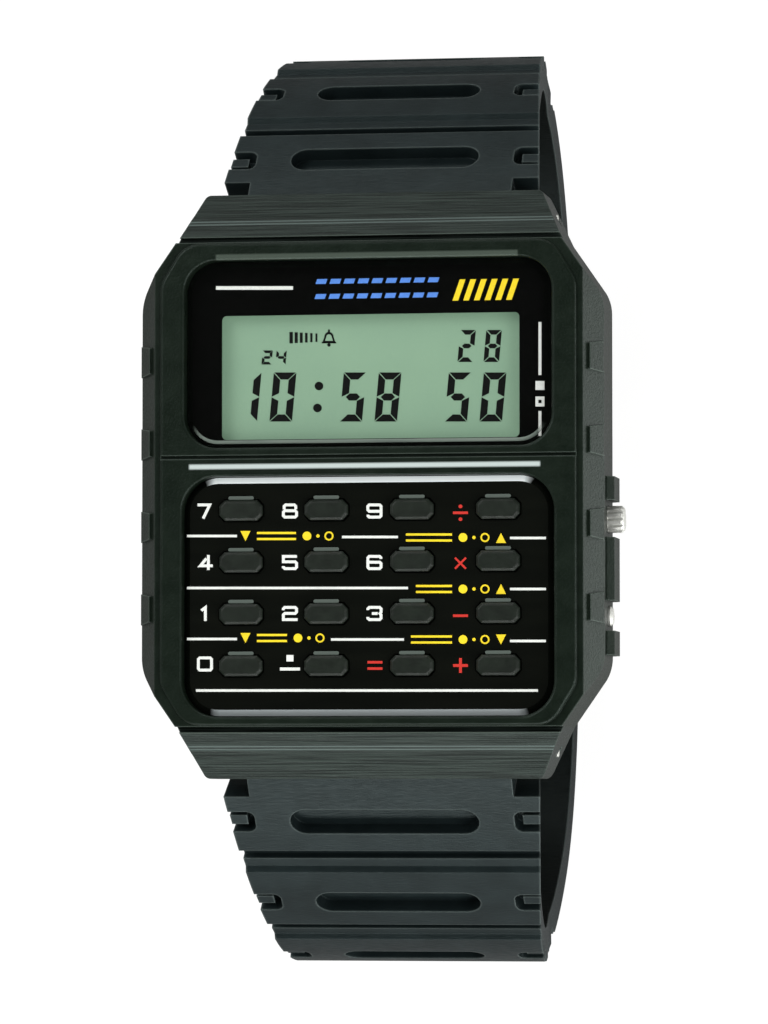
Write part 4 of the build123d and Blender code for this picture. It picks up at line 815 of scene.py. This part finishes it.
brass, tree, shader, place = material_of("rolled_brass")
rolled = patches(tree, place, 0.15 * mm, 1.0, (0.1, 1, 1))
fill(tree, shader, {"Base Color": between(tree, rolled, "#C79E50", "#DDB667"),
                    "Roughness": spread(tree, rolled, 0.2, 0.35), "Metallic": 1.0})
dress(brass, "trimmer_capacitor", "battery_contact", "buzzer_disc")

film, tree, shader, place = material_of("polyester_film")
cast = patches(tree, place, 2 * mm)
fill(tree, shader, {"Base Color": between(tree, cast, "#C8B35A", "#D6C36E"), "Roughness": 0.2})
dress(film, "insulator_sheet")


# ---- Turned and pressed steel ----
# The pushers, bars, screws, springs, clips, buckle pin, quartz can and cell: stainless
# steel, turned or pressed, with fine tool lines. The seals round the pushers and the gasket
# under the back are black rubber.
bright_steel, tree, shader, place = material_of("turned_stainless_steel")
turned = patches(tree, place, 0.06 * mm, 2.0, (1, 0.4, 0.4))
fill(tree, shader, {"Base Color": between(tree, turned, "#CBCCC6", "#D6D7D1"),
                    "Roughness": spread(tree, turned, 0.4, 0.48), "Metallic": 0.6})
raised(tree, shader, turned, 0.001 * mm, 0.3, 0.05 * mm)
dress(bright_steel, "quartz_can", "battery", "battery_clip", "buzzer_spring", "module_screws",
      "case_back_screws", "spring_bar_tubes", "spring_bar_springs", "pusher_springs",
      "buckle_pin", "mode_pusher", "adjust_pusher", "mode_pusher_clip", "adjust_pusher_clip",
      "spring_bar_tip_upper_right", "spring_bar_tip_upper_left", "spring_bar_tip_lower_right",
      "spring_bar_tip_lower_left")

seal_rubber, tree, shader, place = material_of("nitrile_rubber_seal")
dust = patches(tree, place, 0.2 * mm)
fill(tree, shader, {"Base Color": between(tree, dust, "#131313", "#1C1C1B"), "Roughness": 0.6})
raised(tree, shader, dust, 0.005 * mm, 0.5)
dress(seal_rubber, "back_gasket", "mode_pusher_seal", "adjust_pusher_seal")


# ---- Case back and buckle ----
# The back plate, the buckle frame and its tongue: stainless sheet, brushed across the
# watch, with softened edges. Four screws hold the back; the buckle turns on its pin.
brushed_steel, tree, shader, place = material_of("brushed_stainless_steel")
scratches = patches(tree, place, 0.07 * mm, 2.0, (0.02, 1, 1))
wipes = patches(tree, place, 4 * mm)
fill(tree, shader, {
    "Base Color": between(tree, scratches, "#B4B6B3", "#CDCFCC", 0.25, 0.75),
    "Roughness": spread(tree, mix(tree, 0.3, scratches, wipes), 0.26, 0.42), "Metallic": 1.0})
raised(tree, shader, scratches, 0.004 * mm, 0.6, 0.12 * mm)
dress(brushed_steel, "case_back", "buckle_frame", "buckle_tongue")


# ---- Strap and keeper ----
# Two resin halves moulded in a curl, with pads, slots and edge notches, and a resin loop
# that slides on the upper one. Blue-grey black with a fine grain; painted shade inside the
# curl, and paler edges from wear and a painted highlight.
wrist_centre = (0, 0, -20 * mm)
inward_reach = -9 * mm
strap_resin, tree, shader, place = material_of("moulded_resin_strap")
grain = patches(tree, place, 0.15 * mm, 2.0, (0.2, 1, 1))
cloudy = patches(tree, place, 2.5 * mm)
# The inside of the curl, whose faces look towards the wrist, is darker: painted shade
normal = add(tree, "ShaderNodeTexCoord").outputs["Normal"]
outward = add(tree, "ShaderNodeVectorMath", {0: place, 1: wrist_centre}, operation="SUBTRACT")
outward = add(tree, "ShaderNodeVectorMath", {0: outward.outputs[0], 1: (0, 1, 1)},
              operation="MULTIPLY")
outward = add(tree, "ShaderNodeVectorMath", {0: outward.outputs[0], 1: normal},
              operation="DOT_PRODUCT").outputs["Value"]
curl_inside_shade = calculate(tree, "LESS_THAN", outward, inward_reach)
colour = mix_colour(tree, curl_inside_shade, between(tree, cloudy, "#12191A", "#192122"), linear("#060807"))
# Outer edges turn paler: wear, and a painted highlight
fill(tree, shader, {
    "Base Color": worn_and_highlit_edges(tree, colour, 0.18 * mm, "#525B59", 0.8),
    "Roughness": spread(tree, grain, 0.32, 0.48), "Specular IOR Level": 0.22,
    "Specular Tint": linear("#D9EFED")})
raised(tree, shader, grain, 0.025 * mm, 0.8, 0.16 * mm)
dress(strap_resin, "strap_upper", "strap_lower", "strap_keeper")
